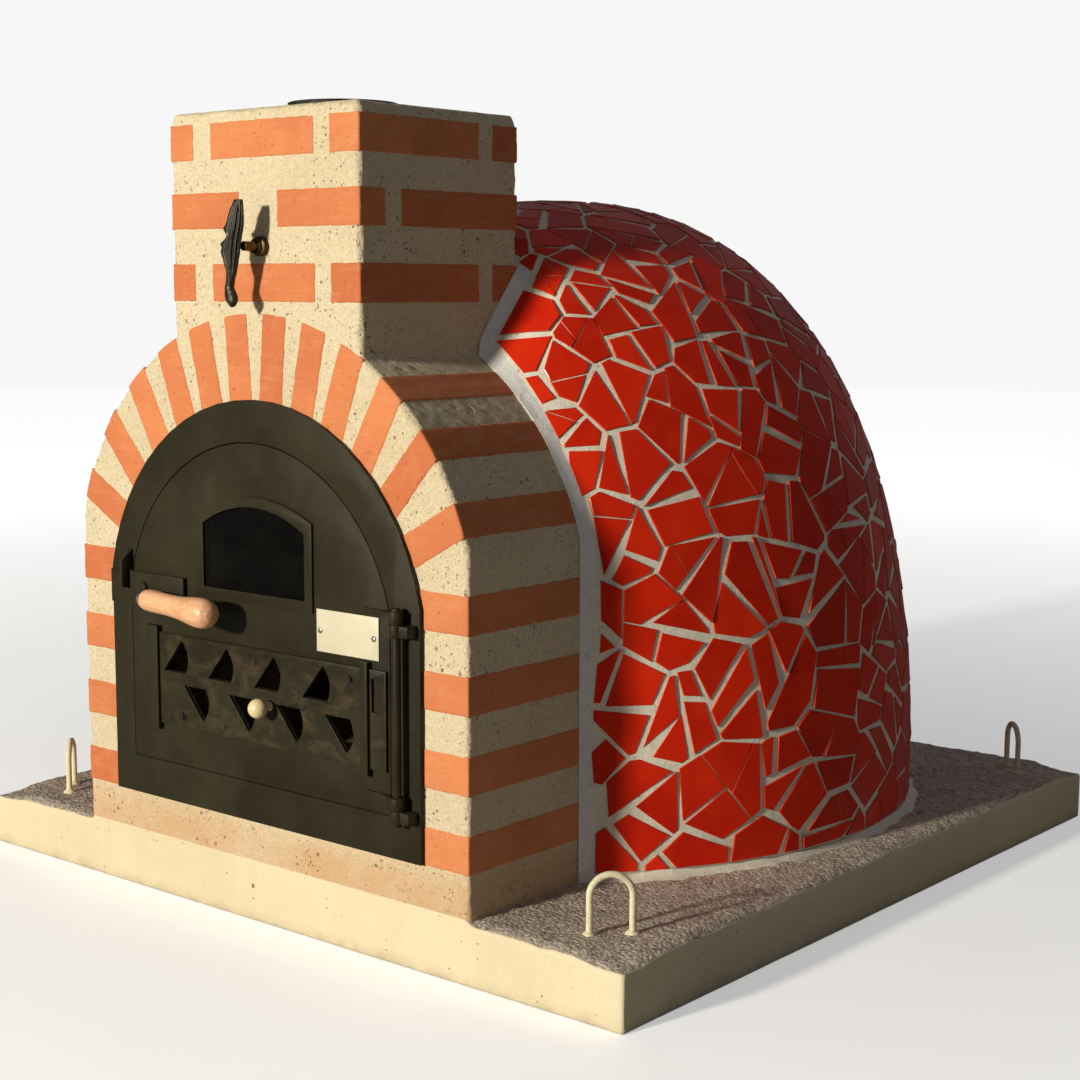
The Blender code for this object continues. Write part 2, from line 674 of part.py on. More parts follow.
def latch_keeper(surface):
    """A hook welded on the frame: the bar comes up behind its finger."""
    slot_front = BAR_BACK_Y - BAR_THICK - 0.003
    finger_front = slot_front - 0.010
    outline = [(ON_LEAF_Y, KEEPER_TOP), (finger_front, 0.466), (finger_front, KEEPER_TIP + 0.004),
               (finger_front + 0.003, KEEPER_TIP), (slot_front, KEEPER_TIP), (slot_front, BAR_TOP + 0.001),
               (ON_LEAF_Y, BAR_TOP + 0.001)]
    extrude_outlines("latch_keeper", [outline], "X", KEEPER_LEFT, KEEPER_RIGHT, surface)


def build_leaf(looks):
    leaf = extrude_outlines("door_leaf", [leaf_outline()], "Y", FRAME_FACE_Y, LEAF_BACK_Y, looks["door"])
    glass_room = extrude_outlines("glass room", [window_outline(GLASS_LAP)], "Y", -0.7, -0.5, None)
    fins = [fin_outline((FIN_UPPER[0] + k * FIN_PITCH, FIN_UPPER[1]), True) for k in range(FIN_COLUMNS)]
    fins += [fin_outline((FIN_LOWER[0] + k * FIN_PITCH, FIN_LOWER[1]), False) for k in range(FIN_COLUMNS)]
    fin_cutter = extrude_outlines("fin cutter", fins, "Y", -0.7, -0.5, None)
    pivot_hole = cylinder("pivot hole", 0.005 + GAP, 0, 0.1, None, 16)
    place(pivot_hole, (PIVOT[0], -0.65, PIVOT[1]), (0, 1, 0))
    cut(leaf, glass_room, fin_cutter, pivot_hole)

    bezel = extrude_outlines("window_frame", [window_outline(BEZEL_WIDE)], "Y",
                             ON_LEAF_Y - BEZEL_THICK, ON_LEAF_Y, looks["door"])
    bezel_hole = extrude_outlines("bezel hole", [window_outline()], "Y", -0.7, -0.5, None)
    cut(bezel, bezel_hole)
    glass_front = FRAME_FACE_Y + GAP
    extrude_outlines("window_glass", [window_outline(GLASS_LAP - GAP)], "Y",
                     glass_front, glass_front + GLASS_THICK, looks["glass"])

    box("name_plate", (PLATE_LEFT, ON_LEAF_Y - NAME_PLATE_THICK, PLATE_BOTTOM),
        (PLATE_RIGHT, ON_LEAF_Y, PLATE_TOP), looks["plate"])
    plate_middle = (PLATE_BOTTOM + PLATE_TOP) / 2
    for word, x in (("left", PLATE_LEFT + SCREW_INSET), ("right", PLATE_RIGHT - SCREW_INSET)):
        dome = [(0, 0), (0.0038, 0), (0.0034, 0.0012), (0.002, 0.0021), (0, 0.0024)]
        screw = turn(f"name_plate_screw_{word}", dome, looks["steel"], 12)
        place(screw, (x, ON_LEAF_Y - NAME_PLATE_THICK - GAP, plate_middle), (0, -1, 0))
    for word, span in (("left", GUIDE_LEFT), ("right", GUIDE_RIGHT)):
        vent_guide(f"vent_guide_{word}", span, looks["door"])
    vent_slider(fin_cutter, looks)
    leaf_hinge(looks)


def vent_guide(name, span, surface):
    """A strap that bridges the slider and stands on the leaf above and below it."""
    inner_front = ON_LEAF_Y - SLIDER_THICK - 2 * GAP
    outer_front = inner_front - GUIDE_THICK
    low, high = SLIDER_BOTTOM - 0.0015, SLIDER_TOP + 0.0015
    outline = [(ON_LEAF_Y, low - GUIDE_FOOT), (outer_front, low - GUIDE_FOOT),
               (outer_front, high + GUIDE_FOOT), (ON_LEAF_Y, high + GUIDE_FOOT), (ON_LEAF_Y, high),
               (inner_front, high), (inner_front, low), (ON_LEAF_Y, low)]
    extrude_outlines(name, [outline], "X", span[0], span[1], surface)


def vent_slider(fin_cutter, looks):
    face = ON_LEAF_Y - SLIDER_THICK
    slider = box("vent_slider", (SLIDER_LEFT, face, SLIDER_BOTTOM), (SLIDER_RIGHT, ON_LEAF_Y, SLIDER_TOP),
                 looks["door"])
    slot_outline = rounded_slot(SLOT_LEFT, SLOT_RIGHT, SLOT_BOTTOM, SLOT_TOP, SLOT_CORNER)
    slot = extrude_outlines("slider slot", [slot_outline], "Y", -0.7, -0.5, None)
    cut(slider, fin_cutter, slot)
    ball_centre = KNOB_STAND
    stem_radius = 0.005
    profile = [(0, 0), (stem_radius, 0), (stem_radius, ball_centre - KNOB_RADIUS * 0.9)]
    steps = 9
    for k in range(steps):
        angle = math.radians(-64 + 154 * (k + 1) / steps)
        profile.append((KNOB_RADIUS * math.cos(angle) if k < steps - 1 else 0,
                        ball_centre + KNOB_RADIUS * math.sin(angle)))
    knob = turn("vent_knob", profile, looks["knob"], 20)
    place(knob, (KNOB[0], face - GAP, KNOB[1]), (0, -1, 0))


def leaf_hinge(looks):
    """Two straps on the leaf end in barrels, and one rod hangs the leaf in the frame's brackets."""
    rod = cylinder("hinge_rod", ROD_RADIUS, ROD_BOTTOM, ROD_TOP, looks["door"], 20)
    place(rod, (HINGE_X, HINGE_Y, 0))
    for word, height in STRAP_HEIGHTS.items():
        low, high = height - BARREL_TALL / 2, height + BARREL_TALL / 2
        strap = cylinder(f"hinge_strap_{word}", BARREL_RADIUS, low, high, looks["door"], 20)
        place(strap, (HINGE_X, HINGE_Y, 0))
        tongue_outline = [(STRAP_LEFT, ON_LEAF_Y), (STRAP_LEFT, ON_LEAF_Y - STRAP_THICK),
                          (STRAP_BEND_X - 0.006, ON_LEAF_Y - STRAP_THICK),
                          (HINGE_X - 0.006, HINGE_Y - 0.004), (HINGE_X - 0.006, HINGE_Y + 0.003),
                          (STRAP_BEND_X, ON_LEAF_Y)]
        tongue = plan_prism(f"strap tongue {word}", tongue_outline, height - STRAP_HALF_TALL,
                            height + STRAP_HALF_TALL)
        eye = place(cylinder(f"strap eye {word}", ROD_RADIUS + GAP, 0, 1, None, 20), (HINGE_X, HINGE_Y, 0))
        fuse(strap, tongue)
        cut(strap, eye)


def plan_prism(name, outline, low, high):
    """Extrude an (x, y) outline upwards."""
    def build(work):
        below = [work.verts.new((x, y, low)) for x, y in outline]
        above = [work.verts.new((x, y, high)) for x, y in outline]
        work.faces.new(list(reversed(below)))
        work.faces.new(above)
        for i in range(len(outline)):
            j = (i + 1) % len(outline)
            work.faces.new((below[i], below[j], above[j], above[i]))
    return add_mesh(name, build, None)


def build_latch(looks):
    """The bar that turns on its bolt, with the wooden grip on a tang."""
    bar_face = BAR_BACK_Y - BAR_THICK
    bar = box("latch_bar", (BAR_LEFT, bar_face, BAR_BOTTOM), (BAR_RIGHT, BAR_BACK_Y, BAR_TOP),
              looks["door"])
    grip_axis = Vector((math.cos(GRIP_TURN), -math.sin(GRIP_TURN), 0))
    tang_start = GRIP_START - grip_axis * 0.0125
    tang_block = box("tang block", (tang_start.x - 0.0065, tang_start.y - 0.005, tang_start.z - 0.008),
                     (tang_start.x - 0.0025, bar_face + 0.001, tang_start.z + 0.008), None)
    tang = place(cylinder("tang", 0.0045, -0.005, 0.075, None, 12), tang_start, grip_axis)
    pivot_hole = cylinder("bar hole", 0.005 + GAP, 0, 0.1, None, 16)
    place(pivot_hole, (PIVOT[0], -0.65, PIVOT[1]), (0, 1, 0))
    notch = box("bar notch", (KEEPER_LEFT - NOTCH_CLEARANCE, -0.7, KEEPER_TIP - NOTCH_CLEARANCE),
                (KEEPER_RIGHT + NOTCH_CLEARANCE, -0.5, BAR_TOP + 0.01), None)
    fuse(bar, tang_block, tang)
    cut(bar, pivot_hole, notch)

    # bolt: shank in the leaf, a spacer, shank in the bar and the head
    leaf_depth = LEAF_BACK_Y - FRAME_FACE_Y
    spacer_start = leaf_depth + GAP
    bar_start = LEAF_BACK_Y - BAR_BACK_Y - GAP
    head_start = bar_start + BAR_THICK + 2 * GAP
    profile = [(0, 0), (0.005, 0), (0.005, spacer_start), (0.008, spacer_start), (0.008, bar_start),
               (0.005, bar_start), (0.005, head_start), (0.0085, head_start), (0.0085, head_start + 0.003),
               (0.0065, head_start + 0.005), (0, head_start + 0.005)]
    place(turn("latch_pivot", profile, looks["door"], 16), (PIVOT[0], LEAF_BACK_Y, PIVOT[1]), (0, -1, 0))

    bore = 0.0045 + GAP
    ferrule_long = 0.012
    ferrule_profile = [(bore, -ferrule_long), (0.0108, -ferrule_long), (0.0118, -GAP), (bore, -GAP)]
    ferrule = turn("handle_ferrule", ferrule_profile, looks["steel"], 20)
    grip_profile = [(bore, 0), (0.0135, 0), (0.0148, 0.006), (0.0145, 0.025), (0.0132, 0.052),
                    (0.0135, 0.075), (0.0155, 0.100), (0.0185, 0.122), (0.0200, 0.140), (0.0190, 0.154),
                    (0.0150, 0.163), (0.0075, 0.168), (0, 0.169), (0, 0.066), (bore, 0.066)]
    grip = turn("handle_grip", grip_profile, looks["wood"], 20)
    for piece in (ferrule, grip):
        place(piece, GRIP_START, grip_axis)


# ---------------------------------------------------------------- the whole oven
def main():
    for thing in list(bpy.data.objects):
        bpy.data.objects.remove(thing, do_unlink=True)
    looks = {
        "slab": material("concrete", (0.62, 0.55, 0.42), 0.9),
        "loop": material("painted bar", (0.72, 0.66, 0.52), 0.6),
        "mortar": material("mortar", (0.87, 0.74, 0.50), 0.9),
        "brick": material("brick", (0.72, 0.27, 0.11), 0.85),
        "firebrick": material("firebrick", (0.66, 0.52, 0.36), 0.9),
        "insulation": material("insulation", (0.80, 0.77, 0.70), 0.95),
        "grout": material("grout", (0.60, 0.56, 0.48), 0.9),
        "tile": material("glazed tile", (0.60, 0.03, 0.01), 0.15),
        "door": material("stove black", (0.035, 0.032, 0.022), 0.5, 0.4),
        "steel_dark": material("black steel", (0.02, 0.02, 0.02), 0.5, 0.6),
        "bronze": material("dark bronze", (0.03, 0.026, 0.02), 0.4, 0.7),
        "steel": material("bright steel", (0.55, 0.55, 0.55), 0.3, 1.0),
        "plate": material("cream plate", (0.80, 0.74, 0.58), 0.4),
        "glass": material("smoked glass", (0.01, 0.01, 0.012), 0.08),
        "knob": material("cream knob", (0.85, 0.74, 0.50), 0.3),
        "wood": material("beech", (0.72, 0.42, 0.22), 0.5),
    }
    build_slab(looks)
    build_dome(looks)
    build_front(looks)
    build_chimney(looks)
    build_damper(looks)
    build_frame(looks)
    build_leaf(looks)
    build_latch(looks)


main()
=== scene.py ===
"""Looks of a wood fired pizza oven: detailed pieces, materials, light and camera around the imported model.

Lengths are in metres, +Z is up, +X is to the right of someone who faces the door, and -Y points out of it.
"""
import math
import random

import bmesh
import bpy
from mathutils import Matrix, Vector, noise


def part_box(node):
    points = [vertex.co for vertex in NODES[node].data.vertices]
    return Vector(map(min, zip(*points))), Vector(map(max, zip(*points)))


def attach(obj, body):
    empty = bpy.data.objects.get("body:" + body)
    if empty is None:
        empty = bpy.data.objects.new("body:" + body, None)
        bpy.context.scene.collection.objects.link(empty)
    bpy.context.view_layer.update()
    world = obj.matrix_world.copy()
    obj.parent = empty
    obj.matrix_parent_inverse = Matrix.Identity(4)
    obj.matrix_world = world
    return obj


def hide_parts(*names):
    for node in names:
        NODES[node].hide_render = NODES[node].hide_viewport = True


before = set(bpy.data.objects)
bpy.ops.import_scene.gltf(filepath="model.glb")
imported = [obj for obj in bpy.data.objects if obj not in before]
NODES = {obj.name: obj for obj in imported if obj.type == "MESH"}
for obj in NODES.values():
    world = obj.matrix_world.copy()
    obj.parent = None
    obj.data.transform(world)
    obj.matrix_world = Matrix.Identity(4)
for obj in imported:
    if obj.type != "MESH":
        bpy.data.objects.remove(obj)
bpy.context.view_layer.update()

UP = Vector((0.0, 0.0, 1.0))


def edges(node):
    """A CAD node's low x, y, z and high x, y, z, to a tenth of a millimetre."""
    low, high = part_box(node)
    return [round(value, 4) for value in (*low, *high)]


# slab
_, _, _, SLAB_HALF, _, SLAB_TOP = edges("base_slab")
SLAB_STEPS = 200
CORNER_SLUMP_REACH = 0.09
LIP_REACH = 0.016
DEEPEST_HOLLOW = 0.013

# lifting loops
LOOP_PLACE = 0.520                # from the middle of the slab, along x and along y
LOOP_ROD = 0.0042
LOOP_HALF_SPAN = 0.0258
LOOP_HEIGHT = 0.0740
LOOP_SUNK = 0.012

# masonry front
_, FRONT_Y, _, BLOCK_HALF, BLOCK_BACK_Y, _ = edges("arch_block")
BLOCK_ARC_RADIUS = 0.379
BLOCK_ARC_Z = 0.425
SHOULDER_Z = BLOCK_ARC_Z + math.sqrt(BLOCK_ARC_RADIUS ** 2 - BLOCK_HALF ** 2)
SEAT_MARGIN = 0.003               # the slab is flat under the block up to this far inside its edges
SEAT_DEPTH, SEAT_RISE = 0.014, 0.010
MORTAR_SINK = 0.0007              # mortar lies this far behind the brick faces
MORTAR_VOXEL = 0.0042
MORTAR_SEED = 2.0
WELD_FACTOR = 1.05                # how much the bricks grow to weld them into the mortar
BRICK_RIM = 0.0035
BRICK_WEAR = 0.0009
BRICK_BEVEL = 0.0016

# chimney
CHIMNEY_LEFT, _, _, CHIMNEY_RIGHT, CHIMNEY_BACK_Y, _ = edges("chimney_block")
CHIMNEY_ROWS = ((0.999, 1.046), (0.911, 0.958), (0.818, 0.867))
SLIP_DEPTH = 0.050
CHIMNEY_FOOT_Z = 0.735            # the chimney keeps tiles off the dome from here up
CHIMNEY_FOOT_BELOW = 0.83         # the vertices of the chimney's foot lie below this
CHIMNEY_FOOT_EXTRA = 0.005
CHIMNEY_MIDDLE_Z = 0.88           # near where the dome meets the chimney's back
CHIMNEY_CORNER = Vector((CHIMNEY_RIGHT + 0.03, -0.350, 0.790))

# dome: a superellipse in section, stretched forwards
_, _, _, DOME_RADIUS, DOME_BACK_Y, DOME_TOP = edges("mosaic_cladding")
DOME_Y = round(DOME_BACK_Y - DOME_RADIUS, 4)
HEIGHT_POWER = 2.46
WIDTH_POWER = 2.23
DOME_HEART = Vector((0.0, DOME_Y, 0.25))
BLANKET_COVER = 0.017             # grout bed and tiles over the insulation
FLARE_RADIUS = 0.381
FLARE_SLOPE = 1.12
FLARE_BLEND = 0.05

# mosaic: where tiles may lie
TILE_MARGIN = 0.013
TILE_MARGIN_SPREAD = 0.007
COVE_REACH = 0.0145
GROUT_SINK = 0.0019

# mosaic: cells, each round a seed on the dome
SEED_TRIES = 26000
SEED_SPACING = 0.088
SEED_SPREAD = (0.82, 1.25)
CORNER_REACH = 0.10               # seeds stand closer within this distance of the chimney's corner
CORNER_CROWDING = 0.6
HIDDEN_DEPTH = 0.08               # how far into the masonry seeds still matter
CELL_REACH = 0.13
NEIGHBOUR_REACH = 0.30
CELL_WEIGHT = 0.00085             # shifts the border between cells of different weight

# mosaic: shards, with areas in square metres and turns in radians
WHOLE_AREA = 0.0042               # a cell this small is not broken
MIXED_AREA = 0.0075               # up to this size some cells stay whole
WHOLE_SHARE = 0.35
BREAK_TURN = 0.62
BREAK_SHIFT = 0.016
TIGHT_SHARE = 0.16                # shards that are only cracked, with hairline joints
TIGHT_TURN, OPEN_TURN = 0.012, 0.070
TIGHT_GAP, OPEN_GAP = (0.0005, 0.0013), (0.0018, 0.0062)
SHORTEST_SIDE = 0.004
SHORTEST_CUT_SIDE = 0.003
LEAST_AREA = 0.00016
LEAST_CUT_AREA = 0.00012
TILE_TILT = 0.010
PROUD_LIMIT = 0.0032              # how far a flat tile's corner may stand off the curved dome
TILE_DEPTH = 0.008
TILE_BEVEL = 0.0009

# damper
spindle_left, _, spindle_low, spindle_right, SPINDLE_END_Y, spindle_high = edges("damper_spindle")
SPINDLE_X = round((spindle_left + spindle_right) / 2, 4)
SPINDLE_Z = round((spindle_low + spindle_high) / 2, 4)
BORE_RADIUS = 0.0085
HANDLE_Y = -0.640

# grip of the latch
GRIP_START = Vector((-0.188, -0.632, 0.419))
GRIP_TURN = math.radians(9.9)

# studio
AMBIENT_STRENGTH = 0.10
BACKDROP_STRENGTH = 0.93
FLOOR_RADIUS = 14.0
FLOOR_GLOW = (0.8, 5.0, 0.40, 0.87)                # distances near and far, and the glow at each
# name, place, diameter, power, colour, and whether glossy surfaces mirror it
LIGHTS = (("key", (-0.66, -7.00, 2.00), 0.55, 510, (1.0, 0.955, 0.80), True),
          ("fill", (4.8, -3.2, 3.0), 3.0, 2.5, (0.86, 0.92, 1.0), False),
          ("rim", (1.5, 5.0, 3.6), 2.5, 16, (0.95, 0.97, 1.0), False))
LIGHT_TARGET = Vector((0.0, -0.1, 0.45))

# camera
CAMERA_PLACE = Vector((1.8608, -2.2552, 0.8333))
CAMERA_LENS = 64.06
CAMERA_AZIMUTH, CAMERA_DOWN, CAMERA_ROLL = (math.radians(angle) for angle in (39.915, 7.389, 0.142))


# ---------------------------------------------------------------- materials
def preset(node, **values):
    """Set a node's sockets by name, with _ for a space."""
    for key, value in values.items():
        node.inputs[key.replace("_", " ")].default_value = value


class Look:
    """A Principled material with helpers for its procedural layers."""

    def __init__(self, name, colour, roughness, metallic=0.0, **sockets):
        self.material = bpy.data.materials.new(name)
        self.material.use_nodes = True
        self.tree = self.material.node_tree
        self.shader = self.tree.nodes["Principled BSDF"]
        preset(self.shader, Base_Color=(*colour, 1.0), Roughness=roughness, Metallic=metallic, **sockets)
        self.place = self.tree.nodes.new("ShaderNodeTexCoord").outputs["Object"]
        self.colour = (*colour, 1.0)
        self.height = None

    def node(self, kind, **settings):
        made = self.tree.nodes.new(kind)
        for key, value in settings.items():
            setattr(made, key, value)
        return made

    def feed(self, socket, value):
        if isinstance(value, bpy.types.NodeSocket):
            self.tree.links.new(value, socket)
        else:
            socket.default_value = value

    def stretched(self, scale, turn=(0, 0, 0)):
        """Object coordinates scaled by a triple, after a turn."""
        mapping = self.node("ShaderNodeMapping")
        self.feed(mapping.inputs["Vector"], self.place)
        preset(mapping, Rotation=turn, Scale=scale)
        return mapping.outputs["Vector"]

    def noise(self, scale, detail=3.0, rough=0.5, distortion=0.0, place=None):
        made = self.node("ShaderNodeTexNoise")
        self.feed(made.inputs["Vector"], place or self.place)
        preset(made, Scale=scale, Detail=detail, Roughness=rough, Distortion=distortion)
        return made.outputs["Fac"]

    def cells(self, scale):
        """Distance to the nearest cell point, and the cell's random numbers."""
        made = self.node("ShaderNodeTexVoronoi")
        self.feed(made.inputs["Vector"], self.place)
        preset(made, Scale=scale)
        pick = self.node("ShaderNodeSeparateColor")
        self.feed(pick.inputs[0], made.outputs["Color"])
        return made.outputs["Distance"], pick.outputs

    def range(self, value, low, high, out_low=0.0, out_high=1.0):
        made = self.node("ShaderNodeMapRange")
        self.feed(made.inputs["Value"], value)
        preset(made, From_Min=low, From_Max=high, To_Min=out_low, To_Max=out_high)
        return made.outputs["Result"]

    def math(self, operation, first, second):
        made = self.node("ShaderNodeMath", operation=operation)
        self.feed(made.inputs[0], first)
        self.feed(made.inputs[1], second)
        return made.outputs[0]

    def axis(self, name):
        made = self.node("ShaderNodeSeparateXYZ")
        self.feed(made.inputs[0], self.place)
        return made.outputs[name]

    def attribute(self, name):
        return self.node("ShaderNodeAttribute", attribute_name=name).outputs["Fac"]

    def tint(self, amount, colour):
        """Lay a colour over the base colour, as strong as amount says at each point."""
        made = self.node("ShaderNodeMix", data_type="RGBA")
        self.feed(made.inputs["Factor"], amount)
        self.feed(made.inputs[6], self.colour)
        self.feed(made.inputs[7], (*colour, 1.0))
        self.colour = made.outputs[2]
        self.feed(self.shader.inputs["Base Color"], self.colour)
        return self

    def mottle(self, pattern, low, high, colour, most=1.0):
        """Tint with a colour where a noise, given by its settings, runs from low to high."""
        return self.tint(self.range(self.noise(*pattern), low, high, 0.0, most), colour)

    def shade_painted_pits(self, pits, colour, amount, depth):
        """Paint shade into pits by darkening their colour, and sink them by a depth."""
        self.tint(self.math("MULTIPLY", pits, amount), colour)
        return self.bump(self.math("SUBTRACT", 1.0, pits), depth)

    def roughness(self, value):
        self.feed(self.shader.inputs["Roughness"], value)
        return self

    def bump(self, height, depth, strength=1.0):
        """Add relief: height runs from 0 to 1 over depth metres."""
        made = self.node("ShaderNodeBump")
        preset(made, Strength=strength, Distance=depth)
        self.feed(made.inputs["Height"], height)
        if self.height is not None:
            self.feed(made.inputs["Normal"], self.height)
        self.height = made.outputs["Normal"]
        self.feed(self.shader.inputs["Normal"], self.height)
        return self


def pinholes(look, scale, radius, share):
    """1 inside small scattered pits, 0 elsewhere."""
    distance, numbers = look.cells(scale)
    size = look.range(numbers[0], 1.0 - share, 1.0, 0.0, radius)
    return look.range(look.math("SUBTRACT", size, distance), 0.0, radius * 0.35)


def mortar_look():
    look = Look("mortar", (0.80, 0.66, 0.45), 0.92)
    look.mottle((6, 4), 0.35, 0.7, (0.88, 0.75, 0.53))
    look.mottle((420, 3, 0.75), 0.42, 0.66, (0.52, 0.40, 0.25), 0.62)
    look.mottle((85, 5, 0.75), 0.54, 0.72, (0.52, 0.40, 0.26), 0.45)
    look.mottle((240, 2, 0.6), 0.60, 0.70, (0.90, 0.80, 0.60), 0.45)
    # washed brick dust on the plinth
    low = look.range(look.axis("Z"), 0.150, 0.112)
    stain = look.math("MULTIPLY", low, look.range(look.noise(9, 6, 0.7, 0.4), 0.30, 0.62, 0.22, 0.72))
    look.tint(stain, (0.70, 0.37, 0.17))
    crowd = look.range(look.noise(13, 3, 0.6), 0.40, 0.62)
    fine = look.math("MULTIPLY", pinholes(look, 230, 0.42, 0.42), crowd)
    wide = look.math("MULTIPLY", pinholes(look, 105, 0.30, 0.20), look.range(crowd, 0.0, 1.0, 0.25, 1.0))
    look.bump(look.noise(620, 3, 0.7), 0.0013)
    look.bump(look.noise(120, 5, 0.7), 0.0022)
    # the darkening of these pits is painted shade inside the pinholes
    look.shade_painted_pits(fine, (0.20, 0.14, 0.09), 0.78, 0.0016)
    look.shade_painted_pits(wide, (0.13, 0.09, 0.055), 0.80, 0.0032)
    return look.material


def brick_look():
    look = Look("brick", (0.60, 0.160, 0.055), 0.85)
    shade = look.attribute("shade")
    look.tint(look.range(shade, 0.0, 1.0, 0.0, 0.9), (0.78, 0.275, 0.105))
    look.mottle((9, 4, 0.6), 0.42, 0.68, (0.54, 0.145, 0.055), 0.55)
    # brush marks left when the joints were wiped
    wiped = look.noise(1.0, 4, 0.6, 0.2, look.stretched((22, 22, 160)))
    look.tint(look.range(wiped, 0.52, 0.74, 0.0, 0.30), (0.76, 0.36, 0.18))
    look.mottle((38, 5, 0.65), 0.52, 0.74, (0.80, 0.36, 0.17), 0.30)
    look.mottle((330, 3, 0.7), 0.45, 0.75, (0.44, 0.125, 0.05), 0.45)
    # lime bloom in thin smears
    smear = look.noise(30, 6, 0.72, 0.6)
    look.tint(look.range(smear, 0.64, 0.80, 0.0, 0.32), (0.80, 0.52, 0.32))
    look.roughness(look.range(look.noise(60, 3), 0.3, 0.7, 0.78, 0.95))
    look.bump(look.noise(420, 4, 0.7), 0.0006)
    look.bump(look.noise(55, 5, 0.6), 0.0008)
    look.bump(look.math("SUBTRACT", 1.0, pinholes(look, 150, 0.30, 0.12)), 0.0012)
    return look.material


def glaze_look():
    look = Look("glazed tile", (0.80, 0.026, 0.006), 0.18, IOR=1.32, Specular_Tint=(1.0, 0.42, 0.32, 1.0))
    shade = look.attribute("shade")
    look.tint(look.range(shade, 0.0, 1.0, 0.0, 0.70), (0.46, 0.010, 0.004))
    look.mottle((16, 3), 0.4, 0.7, (0.92, 0.045, 0.008), 0.40)
    # dust and dried drips in the glaze
    dust = look.noise(45, 5, 0.7, 0.3, look.stretched((1, 1, 0.35)))
    look.tint(look.range(dust, 0.66, 0.84, 0.0, 0.12), (0.62, 0.30, 0.22))
    look.roughness(look.range(dust, 0.35, 0.75, 0.14, 0.32))
    look.bump(look.noise(30, 2, 0.4), 0.0009, 0.6)
    return look.material


def tile_body_look():
    look = Look("tile body", (0.40, 0.085, 0.045), 0.8)
    look.mottle((160, 4, 0.7), 0.4, 0.7, (0.56, 0.24, 0.14))
    look.bump(look.noise(500, 3, 0.7), 0.0006)
    return look.material


def grout_look(name, colour):
    def shaded(factor):
        return tuple(min(1.0, channel * factor) for channel in colour)

    look = Look(name, colour, 0.9)
    look.mottle((8, 4), 0.35, 0.7, shaded(1.14))
    look.mottle((60, 5, 0.7), 0.52, 0.72, shaded(0.70), 0.5)
    look.mottle((700, 2, 0.7), 0.45, 0.75, shaded(0.58), 0.4)
    look.bump(look.noise(500, 4, 0.7), 0.0008)
    look.bump(look.noise(60, 4, 0.6), 0.0016)
    # the darkening of these pits is painted shade inside them
    look.shade_painted_pits(pinholes(look, 190, 0.30, 0.10), (0.16, 0.13, 0.10), 0.7, 0.0010)
    return look.material


def slab_side_look():
    look = Look("cast concrete", (0.76, 0.64, 0.43), 0.85)
    look.mottle((4, 4), 0.35, 0.7, (0.84, 0.72, 0.50))
    look.mottle((300, 3, 0.7), 0.45, 0.75, (0.58, 0.47, 0.30), 0.30)
    streaks = look.noise(9, 4, 0.6, 0.2, look.stretched((1, 1, 0.25)))
    look.tint(look.range(streaks, 0.52, 0.75, 0.0, 0.30), (0.62, 0.50, 0.32))
    # darker in noisy patches towards the bottom edge
    low = look.range(look.axis("Z"), 0.018, 0.0)
    darker_near_bottom = look.math("MULTIPLY", low, look.range(look.noise(30, 4), 0.4, 0.65, 0.1, 0.6))
    look.tint(darker_near_bottom, (0.45, 0.36, 0.25))
    fine = pinholes(look, 150, 0.22, 0.10)
    wide = pinholes(look, 48, 0.15, 0.06)
    look.bump(look.noise(500, 3, 0.7), 0.0004)
    look.bump(look.noise(40, 4, 0.6), 0.0008)
    # the darkening of these pits is painted shade inside them
    look.shade_painted_pits(fine, (0.20, 0.15, 0.09), 0.8, 0.0015)
    look.shade_painted_pits(wide, (0.20, 0.15, 0.09), 0.85, 0.0025)
    return look.material


def slab_top_look():
    look = Look("rough concrete", (0.46, 0.375, 0.305), 0.85)
    look.mottle((6, 5, 0.65), 0.38, 0.68, (0.58, 0.49, 0.41))
    # pale and dark grains of the aggregate
    distance, numbers = look.cells(190)
    look.tint(look.range(numbers[0], 0.55, 0.98, 0.0, 0.55), (0.80, 0.71, 0.60))
    look.tint(look.range(numbers[1], 0.72, 0.95, 0.0, 0.7), (0.20, 0.155, 0.125))
    look.mottle((34, 5, 0.7), 0.54, 0.72, (0.25, 0.205, 0.165), 0.60)
    # splashes of grout round the dome's foot
    splash = look.math("MULTIPLY", look.range(look.noise(22, 6, 0.75, 0.5), 0.60, 0.72),
                       look.range(look.axis("Y"), 0.10, 0.50, 0.05, 0.85))
    look.tint(splash, (0.66, 0.62, 0.55))
    look.roughness(look.range(look.noise(24, 4), 0.35, 0.7, 0.55, 0.92))
    look.bump(look.math("SUBTRACT", 1.0, distance), 0.0022)
    look.bump(look.noise(420, 4, 0.7), 0.0012)
    return look.material


def stove_look(name, smeared):
    look = Look(name, (0.020, 0.0170, 0.0095), 0.50, IOR=1.24)
    look.mottle((7, 4, 0.6), 0.35, 0.7, (0.038, 0.033, 0.018))
    if smeared:
        wear = look.noise(19, 6, 0.7, 0.8, look.stretched((1, 1, 1.6)))
        look.tint(look.range(wear, 0.48, 0.66, 0.0, 0.75), (0.080, 0.055, 0.030))
        look.mottle((55, 5, 0.7), 0.55, 0.68, (0.008, 0.007, 0.005), 0.6)
    dust = look.noise(150, 4, 0.75)
    look.tint(look.range(dust, 0.60, 0.80, 0.0, 0.35), (0.085, 0.070, 0.046))
    look.roughness(look.range(look.noise(22, 5, 0.65), 0.3, 0.7, 0.30, 0.60))
    look.bump(look.noise(380, 3, 0.6), 0.00018)
    look.bump(look.noise(30, 3, 0.5), 0.0005)
    return look.material


def metal_look(name, colour, roughness, metallic, patina):
    look = Look(name, colour, roughness, metallic)
    look.mottle((70, 5, 0.7), 0.45, 0.68, patina, 0.85)
    look.roughness(look.range(look.noise(90, 4), 0.3, 0.7, roughness * 0.75, min(1.0, roughness * 1.3)))
    look.bump(look.noise(300, 3, 0.6), 0.0003)
    return look.material


